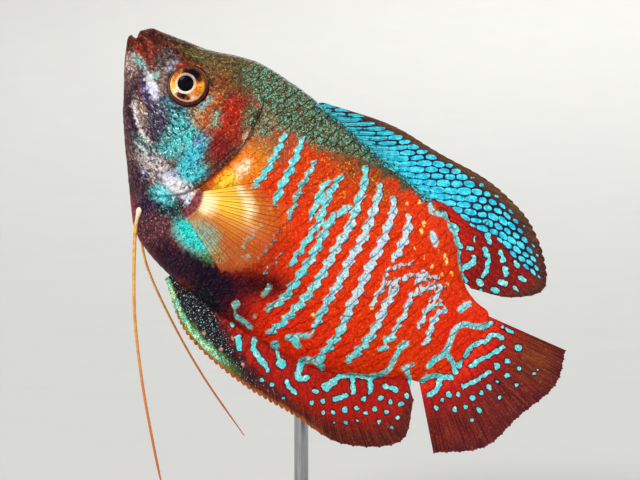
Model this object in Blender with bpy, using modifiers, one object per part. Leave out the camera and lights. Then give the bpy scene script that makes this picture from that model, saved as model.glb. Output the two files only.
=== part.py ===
"""A male dwarf gourami at life size, nose up as it swims, held on a plain display stand.

The fish is modelled straight, in its own frame, and an empty tips it nose up. In that frame
s runs from the snout to the tail, y from the fish's left flank (-) to its right flank (+), and
h up towards the back. Sizes are in millimetres until a mesh is made, which is in metres.
The origin is the middle of the underside of the stand's base, with +Z up.
"""

import math

import bmesh
import bpy
import numpy as np
from mathutils import Matrix, Vector

MM = 0.001
GAP = 0.3  # between any two pieces that touch

# Pose: where the snout is, and how far the nose points up.
NOSE_UP_DEG = 44.5
SNOUT_X = -21.6
SNOUT_Z = 70.47

# The body, as a ship's lines plan: each row is a slanted section across it, from its top point
# (s, h) to its bottom point (s, h), with its half width and how pointed its top and bottom are
# (1 is an ellipse, more is pointed, less is boxy).
BODY_SECTIONS = (
    (-0.95, -1.05, -0.95, -1.15, 0.06, 1.00, 1.00),  # tip of the lower jaw
    (-0.72, -0.66, -0.70, -1.72, 0.72, 0.80, 0.90),
    (-0.08, -0.50, -0.05, -2.60, 1.20, 0.80, 0.95),  # between the lips
    (0.02, 0.80, 0.65, -3.55, 1.50, 0.75, 1.00),
    (0.60, 1.85, 1.45, -4.50, 1.72, 0.80, 1.00),  # upper lip
    (1.65, 2.30, 2.40, -5.50, 2.02, 0.85, 1.00),
    (3.10, 2.95, 3.60, -6.75, 2.45, 0.90, 1.00),
    (5.20, 3.85, 5.30, -8.60, 3.00, 0.85, 1.05),
    (8.20, 5.15, 7.90, -11.10, 3.60, 0.82, 1.10),  # eye
    (11.50, 7.25, 11.00, -13.70, 4.30, 0.90, 1.10),
    (14.50, 8.70, 14.50, -16.60, 5.00, 1.00, 1.00),
    (18.00, 9.50, 18.00, -19.20, 5.45, 1.05, 0.90),  # gill cover
    (22.00, 10.15, 21.50, -20.10, 5.65, 1.05, 0.80),
    (27.00, 10.55, 26.00, -20.20, 5.70, 1.10, 0.80),  # breast
    (33.00, 10.90, 32.00, -19.60, 5.40, 1.10, 0.90),
    (39.00, 11.30, 38.00, -18.60, 4.80, 1.10, 1.05),
    (44.00, 11.90, 43.00, -17.40, 4.15, 1.10, 1.10),
    (48.00, 11.20, 47.50, -15.90, 3.50, 1.05, 1.10),
    (51.50, 9.10, 51.50, -13.50, 2.85, 1.00, 1.05),
    (54.80, 6.70, 55.30, -10.40, 2.25, 0.95, 1.00),
    (57.50, 6.10, 58.20, -7.90, 1.70, 0.90, 0.90),
    (59.80, 6.20, 59.90, -6.80, 1.25, 0.85, 0.85),  # root of the tail fin
    (61.00, 4.60, 61.00, -5.20, 0.85, 0.80, 0.80),
    (61.60, 2.40, 61.60, -3.00, 0.45, 0.80, 0.80),
)
RINGS_PER_SECTION = 2
POINTS_PER_SIDE = 16

# Where the body is parted: the edge of the gill cover, the jaw, and the root of the tail.
GILL_EDGE = (
    (15.6, 14.0),
    (17.38, 7.9),
    (19.53, 3.28),
    (20.86, -1.53),
    (20.76, -6.42),
    (19.55, -10.83),
    (15.86, -15.24),
    (12.0, -19.0),
)
JAW_EDGE = ((2.35, -0.55), (3.10, -2.30), (3.30, -4.50), (2.90, -9.00))
TAIL_EDGE = ((54.4, 14.0), (54.9, 3.0), (55.0, -3.0), (54.4, -18.0))
MOUTH_FRONT = (-3.0, -0.50)
GILL_FLARE = 0.35  # how far the gill cover's edge stands proud of the shoulder
GILL_FLARE_REACH = 5.0

# Lips: thick at the front and fading back into the cheek. Each line is one side's, as s,
# distance from the mid plane and h, from the corner of the mouth to the front.
LIP_RADIUS = 0.56
LIP_END_RADIUS = 0.16
UPPER_LIP = ((3.70, 1.55, -1.55), (2.75, 1.66, -0.55), (1.45, 1.44, 0.10), (0.50, 0.90, 0.42), (0.22, 0.0, 0.52))
LOWER_LIP = ((3.10, 1.45, -2.10), (2.00, 1.48, -1.35), (0.75, 1.14, -1.10), (-0.05, 0.66, -1.16), (-0.34, 0.0, -1.16))
NOSTRILS = ((4.0, 1.5, 0.30), (5.6, 1.9, 0.26))  # s, h and radius of the two pits on each side

EYE_S, EYE_H = 9.97, -0.44
EYE_RADIUS = 2.80
EYE_DEPTH = 1.60  # half the eyeball's thickness, across the fish
EYE_BULGE = 0.85  # how far the eye stands out of the head
LID_RADIUS = 0.30  # of the rounded rim of skin round the eye
LID_GAP = 0.12  # from the socket's edge out to the middle of the rim

# Fins. A fin's root and margin are smooth lines through a few points (s, h), from front to rear,
# and ray number k of n runs from a share of the root to the same share of the margin.
FIN_SINK = 0.9  # how deep a root starts in the body before it is cut back to the skin
MEMBRANE_HALF = 0.25
RAY_HALF_ROOT = 0.46
RAY_HALF_TIP = 0.33
DORSAL = dict(
    rays=25,
    rows=7,
    root=(
        (24.0, 10.2),
        (30.0, 10.7),
        (36.0, 11.1),
        (42.0, 11.7),
        (47.5, 11.4),
        (51.0, 9.5),
        (54.3, 7.1),
    ),
    margin=(
        (24.4, 11.0),
        (32.6, 15.1),
        (40.0, 17.0),
        (48.2, 19.1),
        (56.2, 18.6),
        (62.8, 14.3),
        (60.7, 9.9),
        (55.9, 6.9),
    ),
    bow=0.7,
    wave=0.5,
)
ANAL = dict(
    rays=31,
    rows=7,
    root=(
        (26.4, -20.2),
        (33.0, -19.5),
        (39.5, -18.4),
        (45.5, -16.7),
        (50.5, -14.3),
        (55.0, -10.7),
        (59.2, -7.4),
    ),
    margin=(
        (25.5, -21.2),
        (32.8, -24.4),
        (42.2, -24.1),
        (50.6, -22.2),
        (58.2, -20.4),
        (63.7, -14.6),
        (60.9, -9.2),
    ),
    bow=-0.5,
    wave=-0.5,
)
CAUDAL = dict(
    rays=17,
    rows=8,
    root=((60.1, 5.9), (61.3, 3.2), (61.8, 0.0), (61.3, -3.3), (60.1, -6.5)),
    margin=((71.0, 10.0), (73.4, 5.6), (72.7, -1.0), (72.2, -7.2), (68.0, -12.6)),
    bow=0.0,
    wave=0.7,
)
PECTORAL_RAYS = 11
PECTORAL_ROWS = 6
PECTORAL_ROOT = ((21.05, -9.25), (21.64, -11.0), (21.74, -12.77))
PECTORAL_LENGTHS = (7.6, 9.6, 10.8, 10.9, 10.2, 8.6)
PECTORAL_ANGLES = (54.0, 40.0, 26.0, 13.0, 0.0, -13.0)  # of the rays, above the fish's long axis
PECTORAL_FLARE_DEG = 15.0

# Thread-like belly fins: s, h and distance from the mid plane, from root to tip.
NEAR_FEELER = (
    (16.9, -16.5, 1.6),
    (17.9, -18.5, 2.1),
    (20.8, -21.9, 2.6),
    (26.4, -27.4, 3.1),
    (33.4, -33.0, 3.4),
    (40.2, -37.8, 3.5),
    (45.3, -41.2, 3.5),
)
FAR_FEELER = (
    (16.7, -16.6, 1.6),
    (18.4, -18.9, 2.4),
    (22.5, -21.9, 3.2),
    (30.0, -24.9, 4.2),
    (38.5, -27.4, 5.0),
    (48.2, -29.3, 5.4),
)
FEELER_RADIUS = 0.30
FEELER_TIP_RADIUS = 0.12

# Stand.
BASE_RADIUS = 25.0
BASE_HEIGHT = 5.0
BASE_EDGE = 1.2
ROD_RADIUS = 1.0
ROD_Y = 11.0
ROD_BEND = 5.0
ROD_S, ROD_H = 33.9, -3.6  # where the rod meets the right flank, in the fish's frame
FOOT_RADIUS = 2.8  # of the flange that the rod stands on
FOOT_HEIGHT = 1.8

SKIN_RED = (0.80, 0.10, 0.03, 1.0)
HEAD_BROWN = (0.30, 0.12, 0.08, 1.0)
FIN_RED = (0.42, 0.05, 0.03, 1.0)
FIN_BLUE = (0.05, 0.50, 0.62, 1.0)
PALE_ORANGE = (0.85, 0.45, 0.12, 1.0)
EYE_GOLD = (0.80, 0.40, 0.05, 1.0)
STAND_BLACK = (0.03, 0.03, 0.03, 1.0)
STEEL = (0.60, 0.60, 0.62, 1.0)


def clear_scene():
    for obj in list(bpy.data.objects):
        bpy.data.objects.remove(obj)


def smooth(knots, t):
    """Points of the smooth line through the knots, at places t counted in knots from 0."""
    p = np.asarray(knots, float)
    p = np.vstack([2 * p[0] - p[1], p, 2 * p[-1] - p[-2]])
    t = np.clip(np.asarray(t, float), 0, len(knots) - 1)
    i = np.minimum(t.astype(int), len(knots) - 2)
    f = (t - i)[..., None]
    a, b, c, d = (p[i + k] for k in range(4))
    return 0.5 * (2 * b + (c - a) * f + (2 * a - 5 * b + 4 * c - d) * f**2 + (3 * b - a - 3 * c + d) * f**3)


def share_of(knots, share):
    return smooth(knots, np.asarray(share) * (len(knots) - 1))


def material(name, colour, roughness, metallic=0.0):
    made = bpy.data.materials.new(name)
    made.use_nodes = True
    shader = made.node_tree.nodes["Principled BSDF"]
    shader.inputs["Base Color"].default_value = colour
    shader.inputs["Roughness"].default_value = roughness
    shader.inputs["Metallic"].default_value = metallic
    return made


def collection(name):
    made = bpy.data.collections.new(name)
    bpy.context.scene.collection.children.link(made)
    return made


def object_from(name, points_mm, faces, group):
    mesh = bpy.data.meshes.new(name)
    mesh.from_pydata([tuple(p) for p in np.asarray(points_mm, float) * MM], [], [tuple(f) for f in faces])
    mesh.update()
    obj = bpy.data.objects.new(name, mesh)
    group.objects.link(obj)
    point_outwards(mesh)
    return obj


def point_outwards(mesh):
    bm = bmesh.new()
    bm.from_mesh(mesh)
    bmesh.ops.recalc_face_normals(bm, faces=bm.faces)
    if bm.calc_volume(signed=True) < 0:
        bmesh.ops.reverse_faces(bm, faces=bm.faces)
    bm.to_mesh(mesh)
    bm.free()


def boolean(obj, operation, others, solver="EXACT"):
    """Joins, cuts or keeps, and applies it. The others are left as they are."""
    for other in others:
        modifier = obj.modifiers.new(operation.title(), "BOOLEAN")
        modifier.operation = operation
        modifier.solver = solver
        modifier.object = other
    graph = bpy.context.evaluated_depsgraph_get()
    done = bpy.data.meshes.new_from_object(obj.evaluated_get(graph))
    obj.modifiers.clear()
    obj.data = done


def keep_largest(obj):
    """Drops every closed surface of a mesh but the one with the most volume."""
    bm = bmesh.new()
    bm.from_mesh(obj.data)
    bmesh.ops.remove_doubles(bm, verts=bm.verts, dist=1e-6)
    left, islands = set(bm.faces), []
    while left:
        todo, island = [left.pop()], []
        while todo:
            face = todo.pop()
            island.append(face)
            for edge in face.edges:
                for other in edge.link_faces:
                    if other in left:
                        left.remove(other)
                        todo.append(other)
        islands.append(island)

    def volume(island):
        return abs(sum(f.calc_center_median().dot(f.normal) * f.calc_area() for f in island))

    keep = set(max(islands, key=volume))
    bmesh.ops.delete(bm, geom=[f for f in bm.faces if f not in keep], context="FACES")
    bm.to_mesh(obj.data)
    bm.free()


def finish(obj, look, parent, sharp_deg=40):
    obj.data.materials.clear()
    obj.data.materials.append(look)
    obj.parent = parent
    obj.data.shade_smooth()
    obj.data.set_sharp_from_angle(angle=math.radians(sharp_deg))


def body_grid():
    """Rings of points round the body, each from its bottom, up the left flank, over and down the right."""
    count = (len(BODY_SECTIONS) - 1) * RINGS_PER_SECTION
    rows = smooth(BODY_SECTIONS, np.linspace(0, len(BODY_SECTIONS) - 1, count + 1))
    top, bottom = rows[:, 0:2], rows[:, 2:4]
    half_width, top_power, bottom_power = rows[:, 4], rows[:, 5], rows[:, 6]
    turn = np.linspace(-math.pi / 2, 3 * math.pi / 2, 2 * POINTS_PER_SIDE, endpoint=False)
    up, out = np.sin(turn), np.cos(turn)
    middle, half = (top + bottom) / 2, (top - bottom) / 2
    place = middle[:, None, :] + half[:, None, :] * up[None, :, None]
    power = np.where(up[None, :] > 0, top_power[:, None], bottom_power[:, None])
    across = -half_width[:, None] * np.sign(out) * np.clip(np.abs(out), 0, 1) ** power
    return np.stack([place[..., 0], across, place[..., 1]], axis=-1)


def ring_faces(rings, around):
    faces = []
    for r in range(rings - 1):
        for k in range(around):
            n = (k + 1) % around
            faces.append((r * around + k, r * around + n, (r + 1) * around + n, (r + 1) * around + k))
    faces.append(tuple(range(around)))
    faces.append(tuple((rings - 1) * around + k for k in reversed(range(around))))
    return faces


def gill_flare(points):
    """How far the skin of the head stands out near the gill cover's edge, in millimetres."""
    edge = share_of(GILL_EDGE, np.linspace(0, 1, 60))
    edge_s = np.interp(points[:, 2], edge[::-1, 1], edge[::-1, 0])
    before = np.clip(1 - (edge_s - points[:, 0]) / GILL_FLARE_REACH, 0, 1.3)
    height = np.clip((points[:, 2] + 14) / 3, 0, 1) * np.clip((6 - points[:, 2]) / 3, 0, 1)
    return GILL_FLARE * before**2 * height


def body_mesh(name, group, grow=0.0, flared=False):
    grid = body_grid()
    obj = object_from(name, grid.reshape(-1, 3), ring_faces(*grid.shape[:2]), group)
    bm = bmesh.new()
    bm.from_mesh(obj.data)
    bm.normal_update()
    bm.verts.ensure_lookup_table()
    out = np.full(len(bm.verts), grow, float)
    if flared:
        out += gill_flare(np.array([v.co for v in bm.verts]) / MM)
    for vertex, distance, normal in zip(bm.verts, out, [v.normal.copy() for v in bm.verts], strict=True):
        vertex.co += normal * float(distance) * MM
    bm.to_mesh(obj.data)
    bm.free()
    return obj


def prism(name, outline, group, half=20.0):
    """A block with this outline in (s, h), right across the fish."""
    n = len(outline)
    points = [(s, y, h) for y in (-half, half) for s, h in outline]
    faces = [tuple(range(n)), tuple(reversed(range(n, 2 * n)))]
    faces += [(k, n + k, n + (k + 1) % n, (k + 1) % n) for k in range(n)]
    return object_from(name, points, faces, group)


def shifted(line, distance):
    """A line of (s, h) moved sideways, to its tail side if distance is positive."""
    line = np.asarray(line, float)
    along = np.gradient(line, axis=0)
    along /= np.linalg.norm(along, axis=1)[:, None]
    side = np.stack([-along[:, 1], along[:, 0]], axis=1)
    side *= np.sign(side[:, :1].sum())
    return line + side * distance


def tube(name, route, radii, group, resolution=2, looped=False):
    """A round bar along a route in millimetres, as a closed mesh."""
    curve = bpy.data.curves.new(name, "CURVE")
    curve.dimensions = "3D"
    curve.bevel_depth = MM
    curve.bevel_resolution = resolution
    curve.use_fill_caps = True
    spline = curve.splines.new("POLY")
    spline.points.add(len(route) - 1)
    spline.use_cyclic_u = looped
    for point, place, radius in zip(spline.points, route, radii, strict=True):
        point.co = (*(np.asarray(place, float) * MM), 1)
        point.radius = float(radius)
    drawn = bpy.data.objects.new(name + "_line", curve)
    group.objects.link(drawn)
    graph = bpy.context.evaluated_depsgraph_get()
    mesh = bpy.data.meshes.new_from_object(drawn.evaluated_get(graph))
    bpy.data.objects.remove(drawn)
    bm = bmesh.new()
    bm.from_mesh(mesh)
    bmesh.ops.remove_doubles(bm, verts=bm.verts, dist=1e-6)
    bm.to_mesh(mesh)
    bm.free()
    point_outwards(mesh)
    obj = bpy.data.objects.new(name, mesh)
    group.objects.link(obj)
    return obj


def ellipsoid(name, centre, radii, group, segments=20, rings=11):
    bm = bmesh.new()
    bmesh.ops.create_uvsphere(bm, u_segments=segments, v_segments=rings, radius=MM)
    turn = Matrix.Rotation(math.pi / 2, 4, "X")
    size = Matrix.Diagonal((*radii, 1))
    place = Matrix.Translation(Vector(centre) * MM)
    bmesh.ops.transform(bm, matrix=place @ size @ turn, verts=bm.verts)
    mesh = bpy.data.meshes.new(name)
    bm.to_mesh(mesh)
    bm.free()
    point_outwards(mesh)
    obj = bpy.data.objects.new(name, mesh)
    group.objects.link(obj)
    return obj


def half_width_at(s, h):
    """How far the skin is from the mid plane at a place on the flank."""
    grid = body_grid()
    side = grid[:, : POINTS_PER_SIDE + 1]
    near = np.hypot(side[..., 0] - s, side[..., 2] - h)
    nearest = np.argsort(near, axis=None)[:4]
    weight = 1 / (near.ravel()[nearest] + 1e-6)
    return float((np.abs(side[..., 1]).ravel()[nearest] * weight).sum() / weight.sum())


def lip(name, knots, group):
    """A U-shaped bar round the front of the snout, through the knots of one side and their mirror."""
    side = smooth(knots, np.linspace(0, len(knots) - 1, 13))
    other = side[-2::-1] * (1, -1, 1)
    route = np.vstack([side, other])
    along = np.abs(np.linspace(-1, 1, len(route)))
    radii = LIP_RADIUS + (LIP_END_RADIUS - LIP_RADIUS) * along**2
    return tube(name, route, radii, group, resolution=3)


def eyelid(side, group):
    """The rim of skin round an eye, as a ring that follows the side of the head."""
    turn = np.linspace(0, 2 * math.pi, 28, endpoint=False)
    reach = EYE_RADIUS + GAP + LID_GAP
    s, h = EYE_S + reach * np.cos(turn), EYE_H + reach * np.sin(turn)
    out = np.array([half_width_at(*place) for place in zip(s, h, strict=True)])
    out = (out + np.roll(out, 1) + np.roll(out, -1)) / 3
    route = np.stack([s, side * out, h], axis=1)
    return tube("eyelid", route, [LID_RADIUS] * len(route), group, resolution=2, looped=True)


def fin_sheet(root, margin, rows, columns, bow, wave):
    """Mid-plane points of a fin, rows from root to margin, columns from front to rear."""
    share = np.linspace(0, 1, columns)
    start, end = share_of(root, share), share_of(margin, share)
    along = end - start
    length = np.linalg.norm(along, axis=1)[:, None]
    start = start - along / length * FIN_SINK
    out = np.linspace(0, 1, rows)[:, None, None]
    across = np.stack([-along[:, 1], along[:, 0]], axis=1) / length
    place = start + (end - start) * out + across * bow * 4 * out * (1 - out)
    sway = wave * out[..., 0] ** 2 * np.sin(share * 2.2 * math.pi)
    return np.stack([place[..., 0], sway, place[..., 1]], axis=-1)


def ray_thickness(rows, columns):
    """Half the thickness of a fin, with a ridge on every other column."""
    out = np.linspace(0, 1, rows)[:, None]
    ridge = RAY_HALF_ROOT + (RAY_HALF_TIP - RAY_HALF_ROOT) * out
    on_ray = (np.arange(columns) % 2 == 0)[None, :]
    return np.where(on_ray, ridge, MEMBRANE_HALF)


def fin_solid(name, sheet, thickness, group, normal=(0, 1, 0)):
    """Closes a sheet of points into a thin solid, with both faces split into triangles alike."""
    rows, columns = sheet.shape[:2]
    offset = thickness[..., None] * np.asarray(normal, float)
    points = np.concatenate([(sheet - offset).reshape(-1, 3), (sheet + offset).reshape(-1, 3)])
    back = rows * columns
    faces = []
    for r in range(rows - 1):
        for c in range(columns - 1):
            a, d = r * columns + c, (r + 1) * columns + c
            b, e = a + 1, d + 1
            faces += [(a, b, e), (a, e, d), (back + a, back + e, back + b), (back + a, back + d, back + e)]
    rim = [(0, c) for c in range(columns)] + [(r, columns - 1) for r in range(1, rows)]
    rim += [(rows - 1, c) for c in reversed(range(columns - 1))]
    rim += [(r, 0) for r in reversed(range(1, rows - 1))]
    for (r0, c0), (r1, c1) in zip(rim, rim[1:] + rim[:1], strict=True):
        a, b = r0 * columns + c0, r1 * columns + c1
        faces += [(a, back + a, back + b), (a, back + b, b)]
    return object_from(name, points, faces, group)


def median_fin(name, sizes, look, group, pose, grown):
    columns = 2 * sizes["rays"] - 1
    sheet = fin_sheet(sizes["root"], sizes["margin"], sizes["rows"], columns, sizes["bow"], sizes["wave"])
    obj = fin_solid(name, sheet, ray_thickness(sizes["rows"], columns), group)
    boolean(obj, "DIFFERENCE", [grown])
    keep_largest(obj)
    finish(obj, look, pose)
    return obj


def pectoral_fin(name, side, look, group, pose, grown):
    """A fan on the flank just behind the gill cover. Side is -1 for the left fin and 1 for the right."""
    columns = 2 * PECTORAL_RAYS - 1
    share = np.linspace(0, 1, columns)
    root = share_of(PECTORAL_ROOT, share)
    length = share_of([(v,) for v in PECTORAL_LENGTHS], share)[:, 0]
    angle = np.radians(share_of([(v,) for v in PECTORAL_ANGLES], share)[:, 0])
    out = np.linspace(-0.06, 1, PECTORAL_ROWS)[:, None] * length
    flare = math.radians(PECTORAL_FLARE_DEG)
    s = root[:, 0] + out * np.cos(angle)
    h = root[:, 1] + out * np.sin(angle)
    start = np.array([half_width_at(*place) for place in root])
    y = start + out * math.tan(flare) + 0.25
    sheet = np.stack([s, side * y, h], axis=-1)
    normal = (-side * math.sin(flare) * 0.7, math.cos(flare), -side * math.sin(flare) * 0.3)
    obj = fin_solid(name, sheet, ray_thickness(PECTORAL_ROWS, columns), group, normal)
    boolean(obj, "DIFFERENCE", [grown])
    keep_largest(obj)
    finish(obj, look, pose)
    return obj


def feeler(name, knots, side, look, group, pose, grown):
    points = smooth(np.array(knots) * (1, 1, side), np.linspace(0, len(knots) - 1, 34))
    route = points[:, [0, 2, 1]]
    share = np.linspace(0, 1, len(route))
    radii = np.interp(share, (0, 0.8, 1), (FEELER_RADIUS, FEELER_RADIUS, FEELER_TIP_RADIUS))
    obj = tube(name, route, radii, group, resolution=1)
    boolean(obj, "DIFFERENCE", [grown])
    keep_largest(obj)
    finish(obj, look, pose)
    return obj


def sided(value, side):
    return tuple(np.array(value, float) * (1, side, 1))


def head_cutters(group):
    """Blocks that part the head from the jaw and the trunk, with a gap between, and its hollows."""
    gill = share_of(GILL_EDGE, np.linspace(0, 1, 22))
    jaw = share_of(JAW_EDGE, np.linspace(0, 1, 8))
    slit = np.array([MOUTH_FRONT, JAW_EDGE[0]])
    upper_front = slit + (0, GAP / 2)
    lower_front = slit - (0, GAP / 2)
    head_outline = [(-6.0, 16.0), *gill, (-2.0, -21.0), *shifted(jaw, GAP / 2)[::-1], *upper_front[::-1]]
    jaw_outline = [*lower_front, *shifted(jaw, -GAP / 2)[1:], (-3.0, -9.0)]
    return prism("head_region", head_outline, group), prism("jaw_region", jaw_outline, group)


def trunk_region(group):
    gill = share_of(GILL_EDGE, np.linspace(0, 1, 22))
    tail = share_of(TAIL_EDGE, np.linspace(0, 1, 6))
    return prism("trunk_region", [*shifted(gill, GAP), (12.0, -24.0), (54.4, -24.0), *tail[::-1]], group)


def tail_region(group):
    tail = share_of(TAIL_EDGE, np.linspace(0, 1, 6))
    return prism("tail_region", [*shifted(tail, GAP), (70.0, -18.0), (70.0, 14.0)], group)


def make_head(looks, group, cutters, pose):
    head_block, jaw_block = head_cutters(cutters)
    head = body_mesh("head", group, flared=True)
    jaw = body_mesh("lower_jaw", group)
    boolean(head, "UNION", [lip("upper_lip", UPPER_LIP, cutters)])
    boolean(jaw, "UNION", [lip("lower_lip", LOWER_LIP, cutters)])
    hollows = []
    boolean(head, "UNION", [eyelid(side, cutters) for side in (-1, 1)])
    for side in (-1, 1):
        centre_y = side * (half_width_at(EYE_S, EYE_H) + EYE_BULGE - EYE_DEPTH)
        centre = (EYE_S, centre_y, EYE_H)
        grown = (EYE_RADIUS + GAP, EYE_DEPTH + GAP, EYE_RADIUS + GAP)
        hollows.append(ellipsoid("socket", centre, grown, cutters))
        for s, h, radius in NOSTRILS:
            place = (s, side * half_width_at(s, h), h)
            hollows.append(ellipsoid("nostril", place, (radius,) * 3, cutters, segments=10, rings=6))
        name = "eye_left" if side < 0 else "eye_right"
        eye = ellipsoid(name, centre, (EYE_RADIUS, EYE_DEPTH, EYE_RADIUS), group)
        finish(eye, looks["eye"], pose)
    boolean(head, "INTERSECT", [head_block])
    boolean(head, "DIFFERENCE", hollows)
    boolean(jaw, "INTERSECT", [jaw_block])
    for obj in (head, jaw):
        keep_largest(obj)
        finish(obj, looks["head"], pose)


def make_trunk(looks, group, cutters, pose):
    trunk = body_mesh("trunk", group)
    boolean(trunk, "INTERSECT", [trunk_region(cutters)])
    stalk = body_mesh("tail_stalk", group)
    boolean(stalk, "INTERSECT", [tail_region(cutters)])
    for obj in (trunk, stalk):
        keep_largest(obj)
        finish(obj, looks["skin"], pose)


def make_fins(looks, group, cutters, pose):
    grown = body_mesh("skin_plus_gap", cutters, grow=GAP)
    median_fin("dorsal_fin", DORSAL, looks["blue_fin"], group, pose, grown)
    median_fin("anal_fin", ANAL, looks["red_fin"], group, pose, grown)
    median_fin("caudal_fin", CAUDAL, looks["red_fin"], group, pose, grown)
    for name, side in (("left", -1), ("right", 1)):
        pectoral_fin("pectoral_fin_" + name, side, looks["clear_fin"], group, pose, grown)
    feeler("pelvic_feeler_left", NEAR_FEELER, -1, looks["clear_fin"], group, pose, grown)
    feeler("pelvic_feeler_right", FAR_FEELER, 1, looks["clear_fin"], group, pose, grown)


def turned(name, profile, look, group, location, steps=64):
    """A round piece from a profile of (radius, height), top to bottom down its outer side."""
    mesh = bpy.data.meshes.new(name)
    points = [(r * MM, 0, z * MM) for r, z in profile]
    mesh.from_pydata(points, [(k, k + 1) for k in range(len(points) - 1)], [])
    obj = bpy.data.objects.new(name, mesh)
    group.objects.link(obj)
    screw = obj.modifiers.new("Turn", "SCREW")
    screw.steps = screw.render_steps = steps
    screw.use_merge_vertices = True
    screw.merge_threshold = 0.00001
    obj.location = Vector(location) * MM
    obj.data.materials.append(look)
    return obj


def rounded_disc(radius, bottom, top, edge, arc=4):
    """Profile of a disc whose upper edge is rounded and whose lower edge has a small chamfer."""
    turn = np.linspace(math.pi / 2, 0, arc)
    shoulder = [(radius - edge + edge * math.cos(a), top - edge + edge * math.sin(a)) for a in turn]
    chamfer = edge / 3
    return [(0, top), *shoulder, (radius, bottom + chamfer), (radius - chamfer, bottom), (0, bottom)]


def make_stand(looks, group, pose_matrix, grown_in_place):
    disc = rounded_disc(BASE_RADIUS, 0, BASE_HEIGHT, BASE_EDGE)
    turned("stand_base", disc, looks["base"], group, (0, 0, 0))
    meeting = pose_matrix @ Vector((ROD_S, 0, ROD_H))
    foot = BASE_HEIGHT + GAP
    arc = [
        (meeting.x, ROD_Y - ROD_BEND * (1 - math.cos(a)), meeting.z - ROD_BEND * (1 - math.sin(a)))
        for a in np.linspace(0, math.pi / 2, 9)
    ]
    heights = (foot, foot + FOOT_HEIGHT - 0.5, foot + FOOT_HEIGHT, foot + FOOT_HEIGHT + 0.02)
    route = [(meeting.x, ROD_Y, z) for z in heights]
    route += [*arc, (meeting.x, 2.0, meeting.z)]
    radii = [FOOT_RADIUS, FOOT_RADIUS, FOOT_RADIUS - 0.5] + [ROD_RADIUS] * (len(route) - 3)
    rod = tube("stand_rod", route, radii, group, resolution=4)
    boolean(rod, "DIFFERENCE", [grown_in_place])
    keep_largest(rod)
    finish(rod, looks["steel"], None)


def main():
    clear_scene()
    fish = collection("dwarf_gourami")
    cutters = collection("cutters")
    looks = {
        "skin": material("red_skin", SKIN_RED, 0.35),
        "head": material("brown_head", HEAD_BROWN, 0.35),
        "red_fin": material("red_fin", FIN_RED, 0.4),
        "blue_fin": material("blue_fin", FIN_BLUE, 0.4),
        "clear_fin": material("amber_fin", PALE_ORANGE, 0.4),
        "eye": material("gold_eye", EYE_GOLD, 0.1),
        "base": material("black_base", STAND_BLACK, 0.3),
        "steel": material("steel", STEEL, 0.25, 1.0),
    }
    pose = bpy.data.objects.new("fish_pose", None)
    fish.objects.link(pose)
    make_head(looks, fish, cutters, pose)
    make_trunk(looks, fish, cutters, pose)
    make_fins(looks, fish, cutters, pose)
    tip = Matrix.Rotation(math.radians(NOSE_UP_DEG), 4, "Y")
    to_world = Matrix.Translation((SNOUT_X, 0, SNOUT_Z)) @ tip
    pose.location = Vector((SNOUT_X, 0, SNOUT_Z)) * MM
    pose.rotation_euler = (0, math.radians(NOSE_UP_DEG), 0)
    grown = bpy.data.objects["skin_plus_gap"]
    grown.location = pose.location
    grown.rotation_euler = pose.rotation_euler
    bpy.context.view_layer.update()
    make_stand(looks, fish, to_world, grown)
    for obj in list(cutters.objects):
        bpy.data.objects.remove(obj)
    bpy.data.collections.remove(cutters)


main()
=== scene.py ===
# Dwarf gourami, male: a life-size model, nose up as it swims, on a rod and a round base.
# The fish is worked out in its own frame in millimetres, s from snout to tail, y across it
# with the left flank at minus, h towards the back, and then tipped nose up.
import math

import bpy
import numpy as np
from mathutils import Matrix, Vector


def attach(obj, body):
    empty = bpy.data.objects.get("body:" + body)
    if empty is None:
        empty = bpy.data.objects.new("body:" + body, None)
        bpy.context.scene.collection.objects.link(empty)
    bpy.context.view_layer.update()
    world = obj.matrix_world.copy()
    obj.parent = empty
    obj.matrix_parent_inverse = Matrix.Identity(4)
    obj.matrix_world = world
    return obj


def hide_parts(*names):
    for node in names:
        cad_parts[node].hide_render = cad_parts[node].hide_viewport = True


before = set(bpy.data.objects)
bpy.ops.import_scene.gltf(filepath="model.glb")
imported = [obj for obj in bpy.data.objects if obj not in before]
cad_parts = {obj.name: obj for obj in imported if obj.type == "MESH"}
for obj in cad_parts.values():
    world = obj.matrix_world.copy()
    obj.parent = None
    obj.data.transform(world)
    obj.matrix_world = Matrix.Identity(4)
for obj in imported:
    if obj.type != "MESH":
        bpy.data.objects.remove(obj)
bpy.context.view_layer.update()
print("frame loaded")

pose = {"noseUp": 44.5, "snoutX": -21.6, "snoutZ": 70.47}
tipCos = math.cos(math.radians(pose["noseUp"]))
tipSin = math.sin(math.radians(pose["noseUp"]))


# numbers on arrays
# a smooth line through the knots (Catmull-Rom), at places t counted in knots from 0
def smoothLine(knots, t):
    p = np.asarray(knots, float)
    if p.ndim == 1:
        p = p[:, None]
    p = np.vstack([2 * p[0] - p[1], p, 2 * p[-1] - p[-2]])
    t = np.clip(np.asarray(t, float), 0, len(p) - 3)
    i = np.minimum(t.astype(int), len(p) - 4)
    f = (t - i)[..., None]
    a, b, c, d = (p[i + k] for k in range(4))
    return 0.5 * (2 * b + (c - a) * f + (2 * a - 5 * b + 4 * c - d) * f**2 + (3 * b - a - 3 * c + d) * f**3)


# the same line at shares of its knots, 0 at the first and 1 at the last
def shareOf(knots, share):
    return smoothLine(knots, np.asarray(share) * (len(knots) - 1))


# 0 below lo, 1 above hi, an S curve between
def ease(x, lo, hi):
    t = np.clip((x - lo) / (hi - lo), 0, 1)
    return t * t * (3 - 2 * t)


# 1 at 0 and falling off on both sides over the width
def bell(x, width):
    return np.exp(-((x / width) ** 2))


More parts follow.
